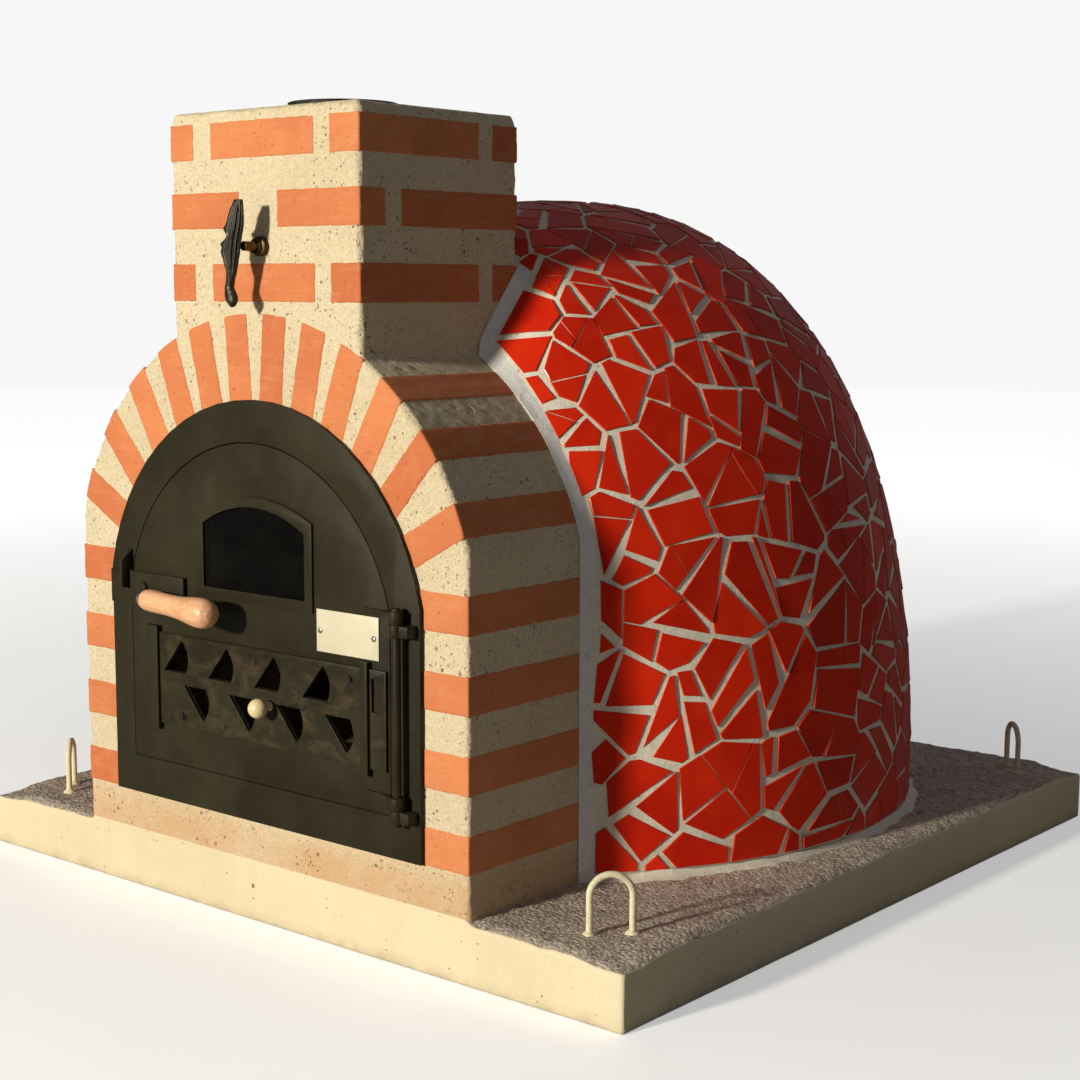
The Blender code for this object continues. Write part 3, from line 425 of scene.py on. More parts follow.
def beech_look():
    look = Look("beech", (0.93, 0.52, 0.30), 0.46, Coat_Weight=0.25, Coat_Roughness=0.25)
    along = look.stretched((9, 130, 130), (0, 0, GRIP_TURN))
    grain = look.noise(1.0, 6, 0.62, 0.8, along)
    look.tint(look.range(grain, 0.42, 0.62, 0.0, 0.50), (0.62, 0.26, 0.12))
    flecks = look.noise(1.0, 3, 0.6, 0.2, look.stretched((60, 900, 900), (0, 0, GRIP_TURN)))
    look.tint(look.range(flecks, 0.60, 0.75, 0.0, 0.40), (0.42, 0.17, 0.07))
    look.mottle((14, 3), 0.45, 0.75, (0.95, 0.57, 0.34), 0.5)
    look.roughness(look.range(grain, 0.3, 0.7, 0.34, 0.50))
    look.bump(grain, 0.0004)
    return look.material


def plate_look():
    look = Look("cream plate", (0.68, 0.62, 0.46), 0.42)
    look.mottle((25, 4), 0.4, 0.7, (0.76, 0.70, 0.54))
    look.mottle((200, 5, 0.75), 0.60, 0.78, (0.48, 0.38, 0.22), 0.4)
    look.roughness(look.range(look.noise(60, 4), 0.3, 0.7, 0.32, 0.48))
    look.bump(look.noise(240, 3, 0.5), 0.00012)
    return look.material


def knob_look():
    look = Look("cream knob", (0.84, 0.66, 0.38), 0.30, Coat_Weight=0.4, Coat_Roughness=0.15)
    look.mottle((60, 4), 0.4, 0.7, (0.90, 0.74, 0.48))
    look.mottle((260, 4, 0.7), 0.60, 0.80, (0.58, 0.40, 0.20), 0.4)
    look.bump(look.noise(160, 2), 0.00015)
    return look.material


def glass_look():
    # opaque and near black: the smoky tint plus painted shade standing in for the unlit oven seen through
    # the glass
    look = Look("smoked glass", (0.004, 0.004, 0.0042), 0.07, IOR=1.1)
    soot = look.noise(18, 5, 0.7, 0.4)
    look.tint(look.range(soot, 0.45, 0.75, 0.0, 0.8), (0.009, 0.008, 0.006))
    look.roughness(look.range(soot, 0.35, 0.75, 0.04, 0.16))
    return look.material


def firebrick_look():
    look = Look("firebrick", (0.66, 0.50, 0.33), 0.9)
    look.mottle((7, 4), 0.35, 0.7, (0.74, 0.60, 0.42))
    look.mottle((180, 4, 0.7), 0.45, 0.72, (0.48, 0.34, 0.21), 0.6)
    soot = look.math("MULTIPLY", look.range(look.axis("Z"), 0.25, 0.62),
                     look.range(look.noise(5, 4), 0.3, 0.6, 0.4, 1.0))
    look.tint(look.math("MULTIPLY", soot, 0.75), (0.10, 0.085, 0.07))
    look.bump(look.noise(300, 4, 0.7), 0.0010)
    look.bump(look.noise(40, 4, 0.6), 0.0020)
    return look.material


def fibre_look():
    look = Look("insulation", (0.80, 0.77, 0.70), 0.95)
    look.mottle((60, 5, 0.8), 0.4, 0.7, (0.70, 0.66, 0.58))
    look.bump(look.noise(260, 5, 0.8), 0.003)
    return look.material


def bar_look():
    look = Look("painted bar", (0.80, 0.70, 0.48), 0.6)
    look.mottle((50, 4), 0.4, 0.7, (0.86, 0.78, 0.58))
    look.mottle((130, 5, 0.75), 0.58, 0.70, (0.34, 0.17, 0.07), 0.85)
    look.bump(look.noise(220, 4, 0.7), 0.0006)
    return look.material


LOOKS = {
    "mortar": mortar_look(),
    "brick": brick_look(),
    "glaze": glaze_look(),
    "tile_body": tile_body_look(),
    "grout": grout_look("grout", (0.84, 0.77, 0.65)),
    "cove": grout_look("cove cement", (0.84, 0.83, 0.81)),
    "slab_side": slab_side_look(),
    "slab_top": slab_top_look(),
    "stove": stove_look("stove black", False),
    "stove_smeared": stove_look("worn stove black", True),
    "pipe": metal_look("black steel", (0.022, 0.021, 0.020), 0.55, 0.5, (0.07, 0.05, 0.035)),
    "iron": metal_look("cast iron", (0.030, 0.027, 0.022), 0.42, 0.5, (0.055, 0.045, 0.030)),
    "bronze": metal_look("dark bronze", (0.105, 0.068, 0.022), 0.38, 0.8, (0.035, 0.026, 0.014)),
    "steel": metal_look("bright steel", (0.62, 0.62, 0.60), 0.28, 1.0, (0.42, 0.41, 0.38)),
    "beech": beech_look(),
    "plate": plate_look(),
    "knob": knob_look(),
    "glass": glass_look(),
    "firebrick": firebrick_look(),
    "fibre": fibre_look(),
    "bar": bar_look(),
}


# ---------------------------------------------------------------- pieces
def smooth_step(t):
    t = min(1.0, max(0.0, t))
    return t * t * (3 - 2 * t)


def link(name, mesh):
    """A mesh as an object in the scene."""
    piece = bpy.data.objects.new(name, mesh)
    bpy.context.scene.collection.objects.link(piece)
    return piece


def settle(name, mesh, looks, body, replaced=()):
    """Add a piece with its materials, parent it to the empty of the body it rides on, and hide the CAD nodes
    it stands for.
    """
    piece = link(name, mesh)
    for look in looks:
        piece.data.materials.append(LOOKS[look])
    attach(piece, body)
    if replaced:
        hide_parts(*replaced)


def smooth(mesh):
    for polygon in mesh.polygons:
        polygon.use_smooth = True


def shade_by_angle(mesh, degrees):
    """Smooth shading with a sharp edge wherever two faces meet at more than the angle."""
    work = bmesh.new()
    work.from_mesh(mesh)
    limit = math.radians(degrees)
    for face in work.faces:
        face.smooth = True
    for edge in work.edges:
        edge.smooth = len(edge.link_faces) == 2 and edge.calc_face_angle(0.0) < limit
    work.to_mesh(mesh)
    work.free()


def mesh_from(build):
    """A mesh from a function that fills a bmesh, with its faces turned outwards."""
    work = bmesh.new()
    build(work)
    bmesh.ops.recalc_face_normals(work, faces=work.faces)
    mesh = bpy.data.meshes.new("shape")
    work.to_mesh(mesh)
    work.free()
    return mesh


def modified(mesh, kind, **settings):
    """A new mesh: the given one after one modifier."""
    piece = link("working", mesh)
    modifier = piece.modifiers.new("step", kind)
    for key, value in settings.items():
        setattr(modifier, key, value)
    graph = bpy.context.evaluated_depsgraph_get()
    graph.update()
    result = bpy.data.meshes.new_from_object(piece.evaluated_get(graph), depsgraph=graph)
    bpy.data.objects.remove(piece)
    return result


def bevelled(mesh, width, degrees):
    """A mesh with its edges rounded wherever two faces meet at more than the angle."""
    return modified(mesh, "BEVEL", width=width, segments=2, limit_method="ANGLE",
                    angle_limit=math.radians(degrees))


def cad_copy(node):
    """A CAD node's shape, welded, with its flat faces merged."""
    work = bmesh.new()
    work.from_mesh(NODES[node].data)
    bmesh.ops.remove_doubles(work, verts=work.verts, dist=1e-5)
    bmesh.ops.dissolve_limit(work, angle_limit=math.radians(0.5), verts=work.verts, edges=work.edges)
    mesh = bpy.data.meshes.new("copy")
    work.to_mesh(mesh)
    work.free()
    return mesh


def refined(node, look, body, width, degrees=50):
    """A CAD node's shape with fine rounded edges."""
    mesh = bevelled(cad_copy(node), width, 40)
    shade_by_angle(mesh, degrees)
    settle(f"{node}_finished", mesh, [look], body, [node])


def lathe(profile, segments):
    """A mesh turned about +Z from (radius, height) points: from axis to axis, or a closed section."""
    def build(work):
        tube = profile[0] == profile[-1]
        rings = []
        for radius, height in profile[:-1] if tube else profile:
            count = 1 if radius < 1e-6 else segments
            rings.append([work.verts.new((radius * math.cos(2 * math.pi * k / segments),
                                          radius * math.sin(2 * math.pi * k / segments), height))
                          for k in range(count)])
        join_rings(work, rings + rings[:1] if tube else rings)
    return mesh_from(build)


def join_rings(work, rings):
    """Faces between closed rings of vertices, of which any may be a single one."""
    for first, second in zip(rings, rings[1:]):
        count = max(len(first), len(second))
        for k in range(count):
            j = (k + 1) % count
            if len(first) == 1:
                corners = (first[0], second[k], second[j])
            elif len(second) == 1:
                corners = (first[k], first[j], second[0])
            else:
                corners = (first[k], first[j], second[j], second[k])
            work.faces.new(corners)


def skin(rings):
    """A closed mesh over rings of points, with a face at each end."""
    def build(work):
        made = [[work.verts.new(point) for point in ring] for ring in rings]
        join_rings(work, made)
        work.faces.new(list(reversed(made[0])))
        work.faces.new(made[-1])
    return mesh_from(build)


def box_of(node):
    """The low corner, high corner and middle of a CAD node's box."""
    low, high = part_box(node)
    return low, high, (low + high) / 2


def aim(mesh, position, direction):
    """Turn a mesh's +Z to a direction and move it to a position."""
    turn = UP.rotation_difference(Vector(direction).normalized()).to_matrix().to_4x4()
    mesh.transform(Matrix.Translation(position) @ turn)
    return mesh


def joined(meshes):
    """One mesh from several, which keep their material indices."""
    work = bmesh.new()
    for mesh in meshes:
        work.from_mesh(mesh)
    result = bpy.data.meshes.new("joined")
    work.to_mesh(result)
    work.free()
    return result


def grain(point, scale, seed, octaves=4):
    """Fractal noise, roughly -1 to 1."""
    return noise.fractal(Vector(point) * scale + Vector((seed, seed * 0.7, -seed)), 0.8, 2.0, octaves)


# ---------------------------------------------------------------- slab
def under_masonry(x, y):
    return abs(x) < BLOCK_HALF - SEAT_MARGIN and y < BLOCK_BACK_Y - SEAT_MARGIN


def slab_height(x, y):
    """Height of the rough, hand-floated top: never above the slab's nominal top."""
    if under_masonry(x, y):
        return SLAB_TOP
    edge = SLAB_HALF - max(abs(x), abs(y))
    lumps = 0.0013 * (1 + grain((x, y, 0), 18, 3, 5)) + 0.0007 * (1 + grain((x, y, 0), 95, 9, 3))
    near, _ = noise.voronoi(Vector((x, y, 0.37)) * 75)
    stones = 0.0016 * smooth_step(1 - near[0] * 1.4)
    corner = math.hypot(SLAB_HALF - abs(x), SLAB_HALF - abs(y))
    slump = 0.0085 * smooth_step(1 - corner / CORNER_SLUMP_REACH)
    lip = smooth_step(1 - edge / LIP_REACH) * (0.0020 + 0.0022 * (1 + grain((x, y, 1), 11, 5, 3)))
    return SLAB_TOP - min(DEEPEST_HOLLOW, max(0.0, lumps + 0.0012 - stones) + slump + lip)


def build_slab():
    steps = SLAB_STEPS
    side_rows = (0.0035, 0.009, 0.018, 0.030, 0.045, 0.060, 0.074, 0.081, SLAB_TOP)

    def position(i, j):
        x = -SLAB_HALF + 2 * SLAB_HALF * i / steps
        y = -SLAB_HALF + 2 * SLAB_HALF * j / steps
        return x, y

    def build(work):
        grid = {}
        for i in range(steps + 1):
            for j in range(steps + 1):
                x, y = position(i, j)
                on_edge = i in (0, steps) or j in (0, steps)
                inset = 0.0022 + 0.0012 * grain((x, y, 2), 30, 7, 3) if on_edge else 0.0
                if under_masonry(x, y):
                    inset = 0.0
                limit = SLAB_HALF - max(0.0004, inset)
                grid[i, j] = work.verts.new((max(-limit, min(limit, x)), max(-limit, min(limit, y)),
                                             slab_height(x, y)))
        for i in range(steps):
            for j in range(steps):
                work.faces.new((grid[i, j], grid[i + 1, j], grid[i + 1, j + 1], grid[i, j + 1]))
        border = ([(i, 0) for i in range(steps)] + [(steps, j) for j in range(steps)]
                  + [(i, steps) for i in range(steps, 0, -1)] + [(0, j) for j in range(steps, 0, -1)])
        above = [grid[key] for key in border]
        for depth in side_rows:
            ring = []
            for key in border:
                x, y = position(*key)
                top = grid[key].co.z
                z = max(0.0, top - depth * top / SLAB_TOP)
                wave = 0.0004 * (1 + grain((x, y, z), 9, 11, 3)) + 0.0003 * (1 + grain((x, y, z), 60, 2, 2))
                foot = 0.0012 if depth == SLAB_TOP else 0.0
                limit = SLAB_HALF - wave - foot
                ring.append(work.verts.new((max(-limit, min(limit, x)), max(-limit, min(limit, y)), z)))
            for k in range(len(ring)):
                j = (k + 1) % len(ring)
                face = work.faces.new((above[k], ring[k], ring[j], above[j]))
                face.material_index = 1
            above = ring
        bottom = work.faces.new(list(reversed(above)))
        bottom.material_index = 1
    mesh = mesh_from(build)
    for polygon in mesh.polygons:
        polygon.use_smooth = len(polygon.vertices) < 5
    settle("slab", mesh, ["slab_top", "slab_side"], "oven", ["base_slab"])


def swept_bar(points, radius, sides, wobble, seed):
    """A closed round bar along a path."""
    rings = []
    side_way = None
    for k, point in enumerate(points):
        ahead = (points[min(k + 1, len(points) - 1)] - points[max(k - 1, 0)]).normalized()
        if side_way is None:
            side_way = ahead.orthogonal().normalized()
        side_way = (side_way - ahead * side_way.dot(ahead)).normalized()
        other = ahead.cross(side_way)
        ring = []
        for s in range(sides):
            angle = 2 * math.pi * s / sides
            out = side_way * math.cos(angle) + other * math.sin(angle)
            ring.append(point + out * (radius + wobble * grain(point + out * 0.01, 90, seed)))
        rings.append(ring)
    mesh = skin(rings)
    shade_by_angle(mesh, 50)
    return mesh


def build_loops():
    for name, side_x, side_y in (("front_left", -1, -1), ("front_right", 1, -1),
                                 ("back_left", -1, 1), ("back_right", 1, 1)):
        middle = Vector((side_x * LOOP_PLACE, side_y * LOOP_PLACE, SLAB_TOP))
        across = Vector((-side_y, side_x, 0)).normalized()
        shoulder = LOOP_HEIGHT - LOOP_ROD - LOOP_HALF_SPAN
        points = [middle - across * LOOP_HALF_SPAN + UP * (-LOOP_SUNK + 0.006 * k) for k in range(8)]
        left = [p for p in points if p.z < SLAB_TOP + shoulder - 0.003]
        arc = [middle - across * LOOP_HALF_SPAN * math.cos(math.pi * k / 24)
               + UP * (shoulder + LOOP_HALF_SPAN * math.sin(math.pi * k / 24)) for k in range(25)]
        right = [p + across * 2 * LOOP_HALF_SPAN for p in reversed(left)]
        mesh = swept_bar(left + arc + right, LOOP_ROD, 14, 0.00025, side_x + 2 * side_y)
        # a collar of cement where each leg enters the slab
        collars = []
        for side in (-1, 1):
            collar = lathe([(0, -0.004), (0.0095, -0.004), (0.0085, 0.0005), (0.0060, 0.0020),
                            (0.0045, 0.0036), (0, 0.0040)], 18)
            for vertex in collar.vertices:
                vertex.co += vertex.normal * 0.0012 * grain(vertex.co + middle, 160, side)
            collars.append(aim(collar, middle + across * side * LOOP_HALF_SPAN - UP * 0.0020, UP))
        for collar in collars:
            for polygon in collar.polygons:
                polygon.use_smooth = True
                polygon.material_index = 1
        settle(f"lifting_loop_{name}_bar", joined([mesh, *collars]), ["bar", "slab_side"], "oven",
               [f"lifting_loop_{name}"])


# ---------------------------------------------------------------- masonry
def grown_copy(node):
    """A CAD brick a little larger across, but not past the block's outside, to weld it into the mortar."""
    mesh = cad_copy(node)
    middle = sum((v.co for v in mesh.vertices), Vector()) / len(mesh.vertices)
    for vertex in mesh.vertices:
        offset = vertex.co - middle
        x, z = middle.x + offset.x * WELD_FACTOR, middle.z + offset.z * WELD_FACTOR
        x = max(-BLOCK_HALF, min(BLOCK_HALF, x))
        radius = math.hypot(x, z - BLOCK_ARC_Z)
        if z > SHOULDER_Z and radius > BLOCK_ARC_RADIUS:
            x *= BLOCK_ARC_RADIUS / radius
            z = BLOCK_ARC_Z + (z - BLOCK_ARC_Z) * BLOCK_ARC_RADIUS / radius
        vertex.co = (x, vertex.co.y, z)
    return mesh


def weathered(mesh):
    """Remesh a masonry shape evenly and roughen it, never outwards past where it was."""
    seed = MORTAR_SEED
    result = modified(mesh, "REMESH", mode="VOXEL", voxel_size=MORTAR_VOXEL)
    moved = []
    for vertex in result.vertices:
        n = vertex.normal
        p = vertex.co
        # 1 on a face, less where the normal leans over an edge
        flat = max(abs(n.y), math.hypot(n.x, n.z)) if abs(n.y) > 0.1 else max(abs(n.x), abs(n.z), 0.94)
        edge = smooth_step((1 - flat) / 0.22)
        chips = edge * 0.0034 * max(0.0, 0.35 + grain(p, 60, seed, 4) + 0.6 * grain(p, 170, seed + 4, 2))
        near, _ = noise.voronoi(p * 62 + Vector((seed, 0, 0)))
        shade_painted_pits = noise.cell(p * 31 + Vector((seed, seed, seed))) > 0.15
        pit = 0.0028 * smooth_step(1 - near[0] / 0.26) if shade_painted_pits else 0.0
        depth = MORTAR_SINK + 0.0003 * (1 + grain(p, 130, seed + 8, 3)) + chips + pit
        moved.append(p - n * depth)
    for vertex, place in zip(result.vertices, moved):
        vertex.co = place
    smooth(result)
    return result


def worn_brick(mesh, seed):
    """Break up a brick's straight edges and round them."""
    work = bmesh.new()
    work.from_mesh(mesh)
    bmesh.ops.remove_doubles(work, verts=work.verts, dist=1e-5)
    bmesh.ops.dissolve_limit(work, angle_limit=math.radians(1), verts=work.verts, edges=work.edges)
    for edge in list(work.edges):
        cuts = int(edge.calc_length() / 0.0065)
        if cuts:
            bmesh.ops.subdivide_edges(work, edges=[edge], cuts=cuts)
    # a rim inside each face keeps its middle flat while the edges wear
    outer = set(work.verts)
    bmesh.ops.inset_individual(work, faces=work.faces[:], thickness=BRICK_RIM, use_even_offset=True)
    work.normal_update()
    for vertex in outer:
        dent = 0.45 + grain(vertex.co, 70, seed, 3) + 0.5 * grain(vertex.co, 230, seed + 2, 2)
        vertex.co -= vertex.normal * BRICK_WEAR * max(0.05, dent)
    worn = bpy.data.meshes.new("brick")
    work.to_mesh(worn)
    work.free()
    result = bevelled(worn, BRICK_BEVEL, 50)
    shade_by_angle(result, 60)
    return result


def set_shades(mesh, shades):
    """Give each vertex the number that its look reads as its shade."""
    mesh.attributes.new("shade", "FLOAT", "POINT").data.foreach_set("value", shades)


def box_mesh(low, high):
    def build(work):
        bmesh.ops.create_cube(work, size=1.0)
        for vertex in work.verts:
            vertex.co = [low[a] + (vertex.co[a] + 0.5) * (high[a] - low[a]) for a in range(3)]
    return mesh_from(build)


def deep_footed_chimney():
    """The chimney block with its foot a little further down, where it overlaps the front block."""
    mesh = cad_copy("chimney_block")
    for vertex in mesh.vertices:
        if vertex.co.z < CHIMNEY_FOOT_BELOW:
            vertex.co.z -= CHIMNEY_FOOT_EXTRA
    return mesh


def build_mortar(bricks):
    """The front block and the chimney as one continuous body of mortar, seated a little into the slab."""
    seat = box_mesh((-BLOCK_HALF, FRONT_Y, SLAB_TOP - SEAT_DEPTH),
                    (BLOCK_HALF, BLOCK_BACK_Y, SLAB_TOP + SEAT_RISE))
    parts = [cad_copy("arch_block"), seat, deep_footed_chimney()]
    parts += [grown_copy(name) for name in bricks]
    mortar = weathered(joined(parts))
    # keep the spindle's bore open, which the even remesh narrows
    depth = SPINDLE_END_Y + BORE_RADIUS
    for vertex in mortar.vertices:
        out = Vector((vertex.co.x - SPINDLE_X, 0.0, vertex.co.z - SPINDLE_Z))
        if vertex.co.y < depth and out.length < BORE_RADIUS:
            vertex.co += out.normalized() * (BORE_RADIUS - out.length)
    settle("masonry_mortar", mortar, ["mortar"], "oven", ["arch_block", "chimney_block"])


def build_front():
    bricks = [name for name in NODES if name.startswith(("arch_brick", "jamb_brick"))]
    build_mortar(bricks)
    draw = random.Random(11)
    for number, name in enumerate(sorted(bricks)):
        mesh = worn_brick(cad_copy(name), number * 3.1)
        set_shades(mesh, [draw.random()] * len(mesh.vertices))
        settle(f"{name}_fired", mesh, ["brick"], "oven", [name])


def chimney_bricks():
    """Boxes of the bricks in each course: (x0, x1, y0, y1) with y measured back from the front."""
    left, right, depth = CHIMNEY_LEFT, CHIMNEY_RIGHT, CHIMNEY_BACK_Y - FRONT_Y
    odd = ((left, left + 0.046, 0, 0.217), (-0.079, 0.113, 0, SLIP_DEPTH), (right - 0.052, right, 0, 0.217),
           (right - 0.204, right, 0.242, depth), (left, left + 0.128, 0.242, depth))
    even = ((left, -0.025, 0, 0.046), (0.045, right, 0, 0.046), (right - SLIP_DEPTH, right, 0.073, depth),
            (left, left + SLIP_DEPTH, 0.073, depth), (left + 0.076, right - 0.074, 0.242, depth))
    return odd, even


def build_chimney():
    odd, even = chimney_bricks()
    draw = random.Random(23)
    for row, (bottom, top) in enumerate(CHIMNEY_ROWS):
        for number, (x0, x1, y0, y1) in enumerate(even if row == 1 else odd):
            mesh = box_mesh((x0, FRONT_Y + y0, bottom), (x1, FRONT_Y + y1, top))
            mesh = worn_brick(mesh, 40 + row * 7.3 + number * 2.9)
            set_shades(mesh, [draw.random()] * len(mesh.vertices))
            settle(f"chimney_brick_{row + 1}_{number + 1}", mesh, ["brick"], "oven")


# ---------------------------------------------------------------- dome
def stretch(z):
    return 1.03 + 0.21 * smooth_step((z - 0.25) / 0.33) + 0.30 * smooth_step((z - 0.70) / 0.20)


def dome_side(p):
    """Negative inside the dome's outer face, positive outside it."""
    shell, flare = shell_side(p), flare_side(p)
    blend = max(0.0, 1.0 - abs(shell - flare) / FLARE_BLEND)
    return max(shell, flare) + FLARE_BLEND * blend * blend / 4


def flare_side(p):
    """The cone that brings the dome down to the arc at the masonry block's back edge."""
    radius = math.hypot(p.x, max(0.0, p.z - BLOCK_ARC_Z))
    return (radius - FLARE_RADIUS - FLARE_SLOPE * (p.y - BLOCK_BACK_Y)) * 2.75


def shell_side(p):
    """The plain superellipse."""
    dy = p.y - DOME_Y
    if dy < 0:
        dy /= stretch(p.z)
    rise = max(0.0, (p.z - SLAB_TOP) / (DOME_TOP - SLAB_TOP))
    return (math.hypot(p.x, dy) / DOME_RADIUS) ** WIDTH_POWER + rise ** HEIGHT_POWER - 1


def dome_slope(p):
    step = 1e-4
    return Vector([dome_side(p + Vector(axis) * step) - dome_side(p - Vector(axis) * step)
                   for axis in ((1, 0, 0), (0, 1, 0), (0, 0, 1))]) / (2 * step)


def dome_normal(p):
    return dome_slope(p).normalized()


def dome_point(climb, azimuth):
    """A point on the dome: climb runs from 0 at the slab to 1 at the crown."""
    angle = climb * math.pi / 2
    z = SLAB_TOP + (DOME_TOP - SLAB_TOP) * math.sin(angle) ** (2 / HEIGHT_POWER)
    reach = DOME_RADIUS * max(0.0, math.cos(angle)) ** (2 / WIDTH_POWER)
    dy = reach * math.sin(azimuth)
    if dy < 0:
        dy *= stretch(z)
    return Vector((reach * math.cos(azimuth), DOME_Y + dy, z))


def crossing(place, low, high, rounds):
    """Where a path leaves the dome, between a parameter inside it and one outside it."""
    for _ in range(rounds):
        middle = (low + high) / 2
        if dome_side(place(middle)) > 0:
            high = middle
        else:
            low = middle
    return low


def settled_on_dome(p):
    """Draw a point of the plain superellipse in to the flared face where that lies deeper."""
    if dome_side(p) <= 1e-5:
        return p
    return DOME_HEART.lerp(p, crossing(lambda t: DOME_HEART.lerp(p, t), 0.0, 1.0, 30))


def tucked_in(p):
    """Draw a point in until it lies under the grout bed."""
    out = (p - DOME_HEART).normalized()
    return settled_on_dome(p + out * BLANKET_COVER) - out * BLANKET_COVER


def climb_of(rise):
    """The climb at a height above the slab."""
    return math.asin((rise / (DOME_TOP - SLAB_TOP)) ** (HEIGHT_POWER / 2)) * 2 / math.pi


def onto_dome(p, way, span=0.06):
    """Where the line through p along a way crosses the dome's face."""
    return p + way * crossing(lambda t: p + way * t, -span, span, 40)


def clip(polygon, normal, offset):
    """The part of a convex polygon with normal . p <= offset."""
    kept = []
    for k, point in enumerate(polygon):
        after = polygon[(k + 1) % len(polygon)]
        here, there = normal.dot(point) - offset, normal.dot(after) - offset
        if here <= 0:
            kept.append(point)
        if here * there < 0:
            kept.append(point.lerp(after, here / (here - there)))
    return kept


def area_of(polygon):
    total = 0.0
    for k, point in enumerate(polygon):
        after = polygon[(k + 1) % len(polygon)]
        total += point.x * after.y - after.x * point.y
    return total / 2


def without_short_sides(polygon, limit):
    return [p for k, p in enumerate(polygon) if (p - polygon[k - 1]).length > limit]


def middle_of(polygon):
    return sum(polygon, Vector((0, 0))) / len(polygon)


def cell_seeds(draw):
    """Points scattered over the dome, none too near another."""
    seeds = []
    for _ in range(SEED_TRIES):
        climb = math.asin(min(1.0, draw.random() ** 0.9)) * 2 / math.pi
        point = settled_on_dome(dome_point(climb, draw.uniform(0, 2 * math.pi)))
        spacing = SEED_SPACING * draw.uniform(*SEED_SPREAD)
        if (Vector((abs(point.x), point.y, point.z)) - CHIMNEY_CORNER).length < CORNER_REACH:
            spacing *= CORNER_CROWDING
        if point.y < BLOCK_BACK_Y - HIDDEN_DEPTH:
            continue
        if all((point - other).length > spacing for other, _ in seeds):
            seeds.append((point, draw.uniform(-1, 1)))
    return seeds


def masonry_zones(p):
    """Half-spaces (normal, offset) that keep a tile near p off the masonry and the slab.
    Round the chimney the tile may fall into several zones: beside it on either hand, or behind it."""
    margin = TILE_MARGIN + TILE_MARGIN_SPREAD * abs(grain(p, 37, 11, 2))
    ahead = (Vector((0, -1, 0)), -(BLOCK_BACK_Y + margin))
    below = (Vector((0, 0, -1)), -(SLAB_TOP + 0.008))
    if p.z < CHIMNEY_FOOT_Z or p.y > CHIMNEY_BACK_Y + 0.12 or abs(p.x) > CHIMNEY_RIGHT + 0.12:
        return [[ahead, below]]
    right, left = CHIMNEY_RIGHT + margin, CHIMNEY_LEFT - margin
    gap = 0.003
    behind = [(Vector((0, -1, 0)), -(CHIMNEY_BACK_Y + margin)), (Vector((1, 0, 0)), right - gap),
              (Vector((-1, 0, 0)), -(left + gap))]
    return [[ahead, (Vector((-1, 0, 0)), -right)], [ahead, (Vector((1, 0, 0)), left)], behind]


def turned(way, angle):
    """A flat direction turned anticlockwise."""
    return Vector((way.x * math.cos(angle) - way.y * math.sin(angle),
                   way.x * math.sin(angle) + way.y * math.cos(angle)))


def shards_of(cell, draw):
    """Break a cell into one to three shards, some only cracked in place."""
    pieces = [cell]
    for _ in range(2):
        broken = []
        for piece in pieces:
            size = area_of(piece)
            if size < WHOLE_AREA or (size < MIXED_AREA and draw.random() < WHOLE_SHARE):
                broken.append(piece)
                continue
            middle = middle_of(piece)
            ends = max(((a, b) for a in piece for b in piece), key=lambda pair: (pair[0] - pair[1]).length)
            long_way = (ends[0] - ends[1]).normalized()
            angle = draw.gauss(0, BREAK_TURN)
            normal = turned(long_way, angle)
            offset = normal.dot(middle) + draw.uniform(-BREAK_SHIFT, BREAK_SHIFT)
            halves = [clip(piece, normal, offset), clip(piece, -normal, -offset)]
            broken += [half for half in halves if len(half) > 2]
        pieces = broken
    return pieces


def loosened(shard, draw):
    """Pull each side in by its own small amount and turn it a little, which leaves wedge-shaped joints."""
    result = list(shard)
    tight = draw.random() < TIGHT_SHARE
    for k, start in enumerate(shard):
        end = shard[(k + 1) % len(shard)]
        if (end - start).length < 1e-5:
            continue
        along = turned((end - start).normalized(), draw.gauss(0, TIGHT_TURN if tight else OPEN_TURN))
        normal = Vector((along.y, -along.x))
        gap = draw.uniform(*(TIGHT_GAP if tight else OPEN_GAP))
        result = clip(result, normal, normal.dot((start + end) / 2) - gap)
        if len(result) < 3:
            return []
    # no side is shorter than a tile nipper can cut
    return without_short_sides(result, SHORTEST_SIDE)


def tile_frame(p):
    normal = dome_normal(p)
    across = UP.cross(normal)
    across = across.normalized() if across.length > 1e-3 else Vector((1, 0, 0))
    return across, normal.cross(across), normal


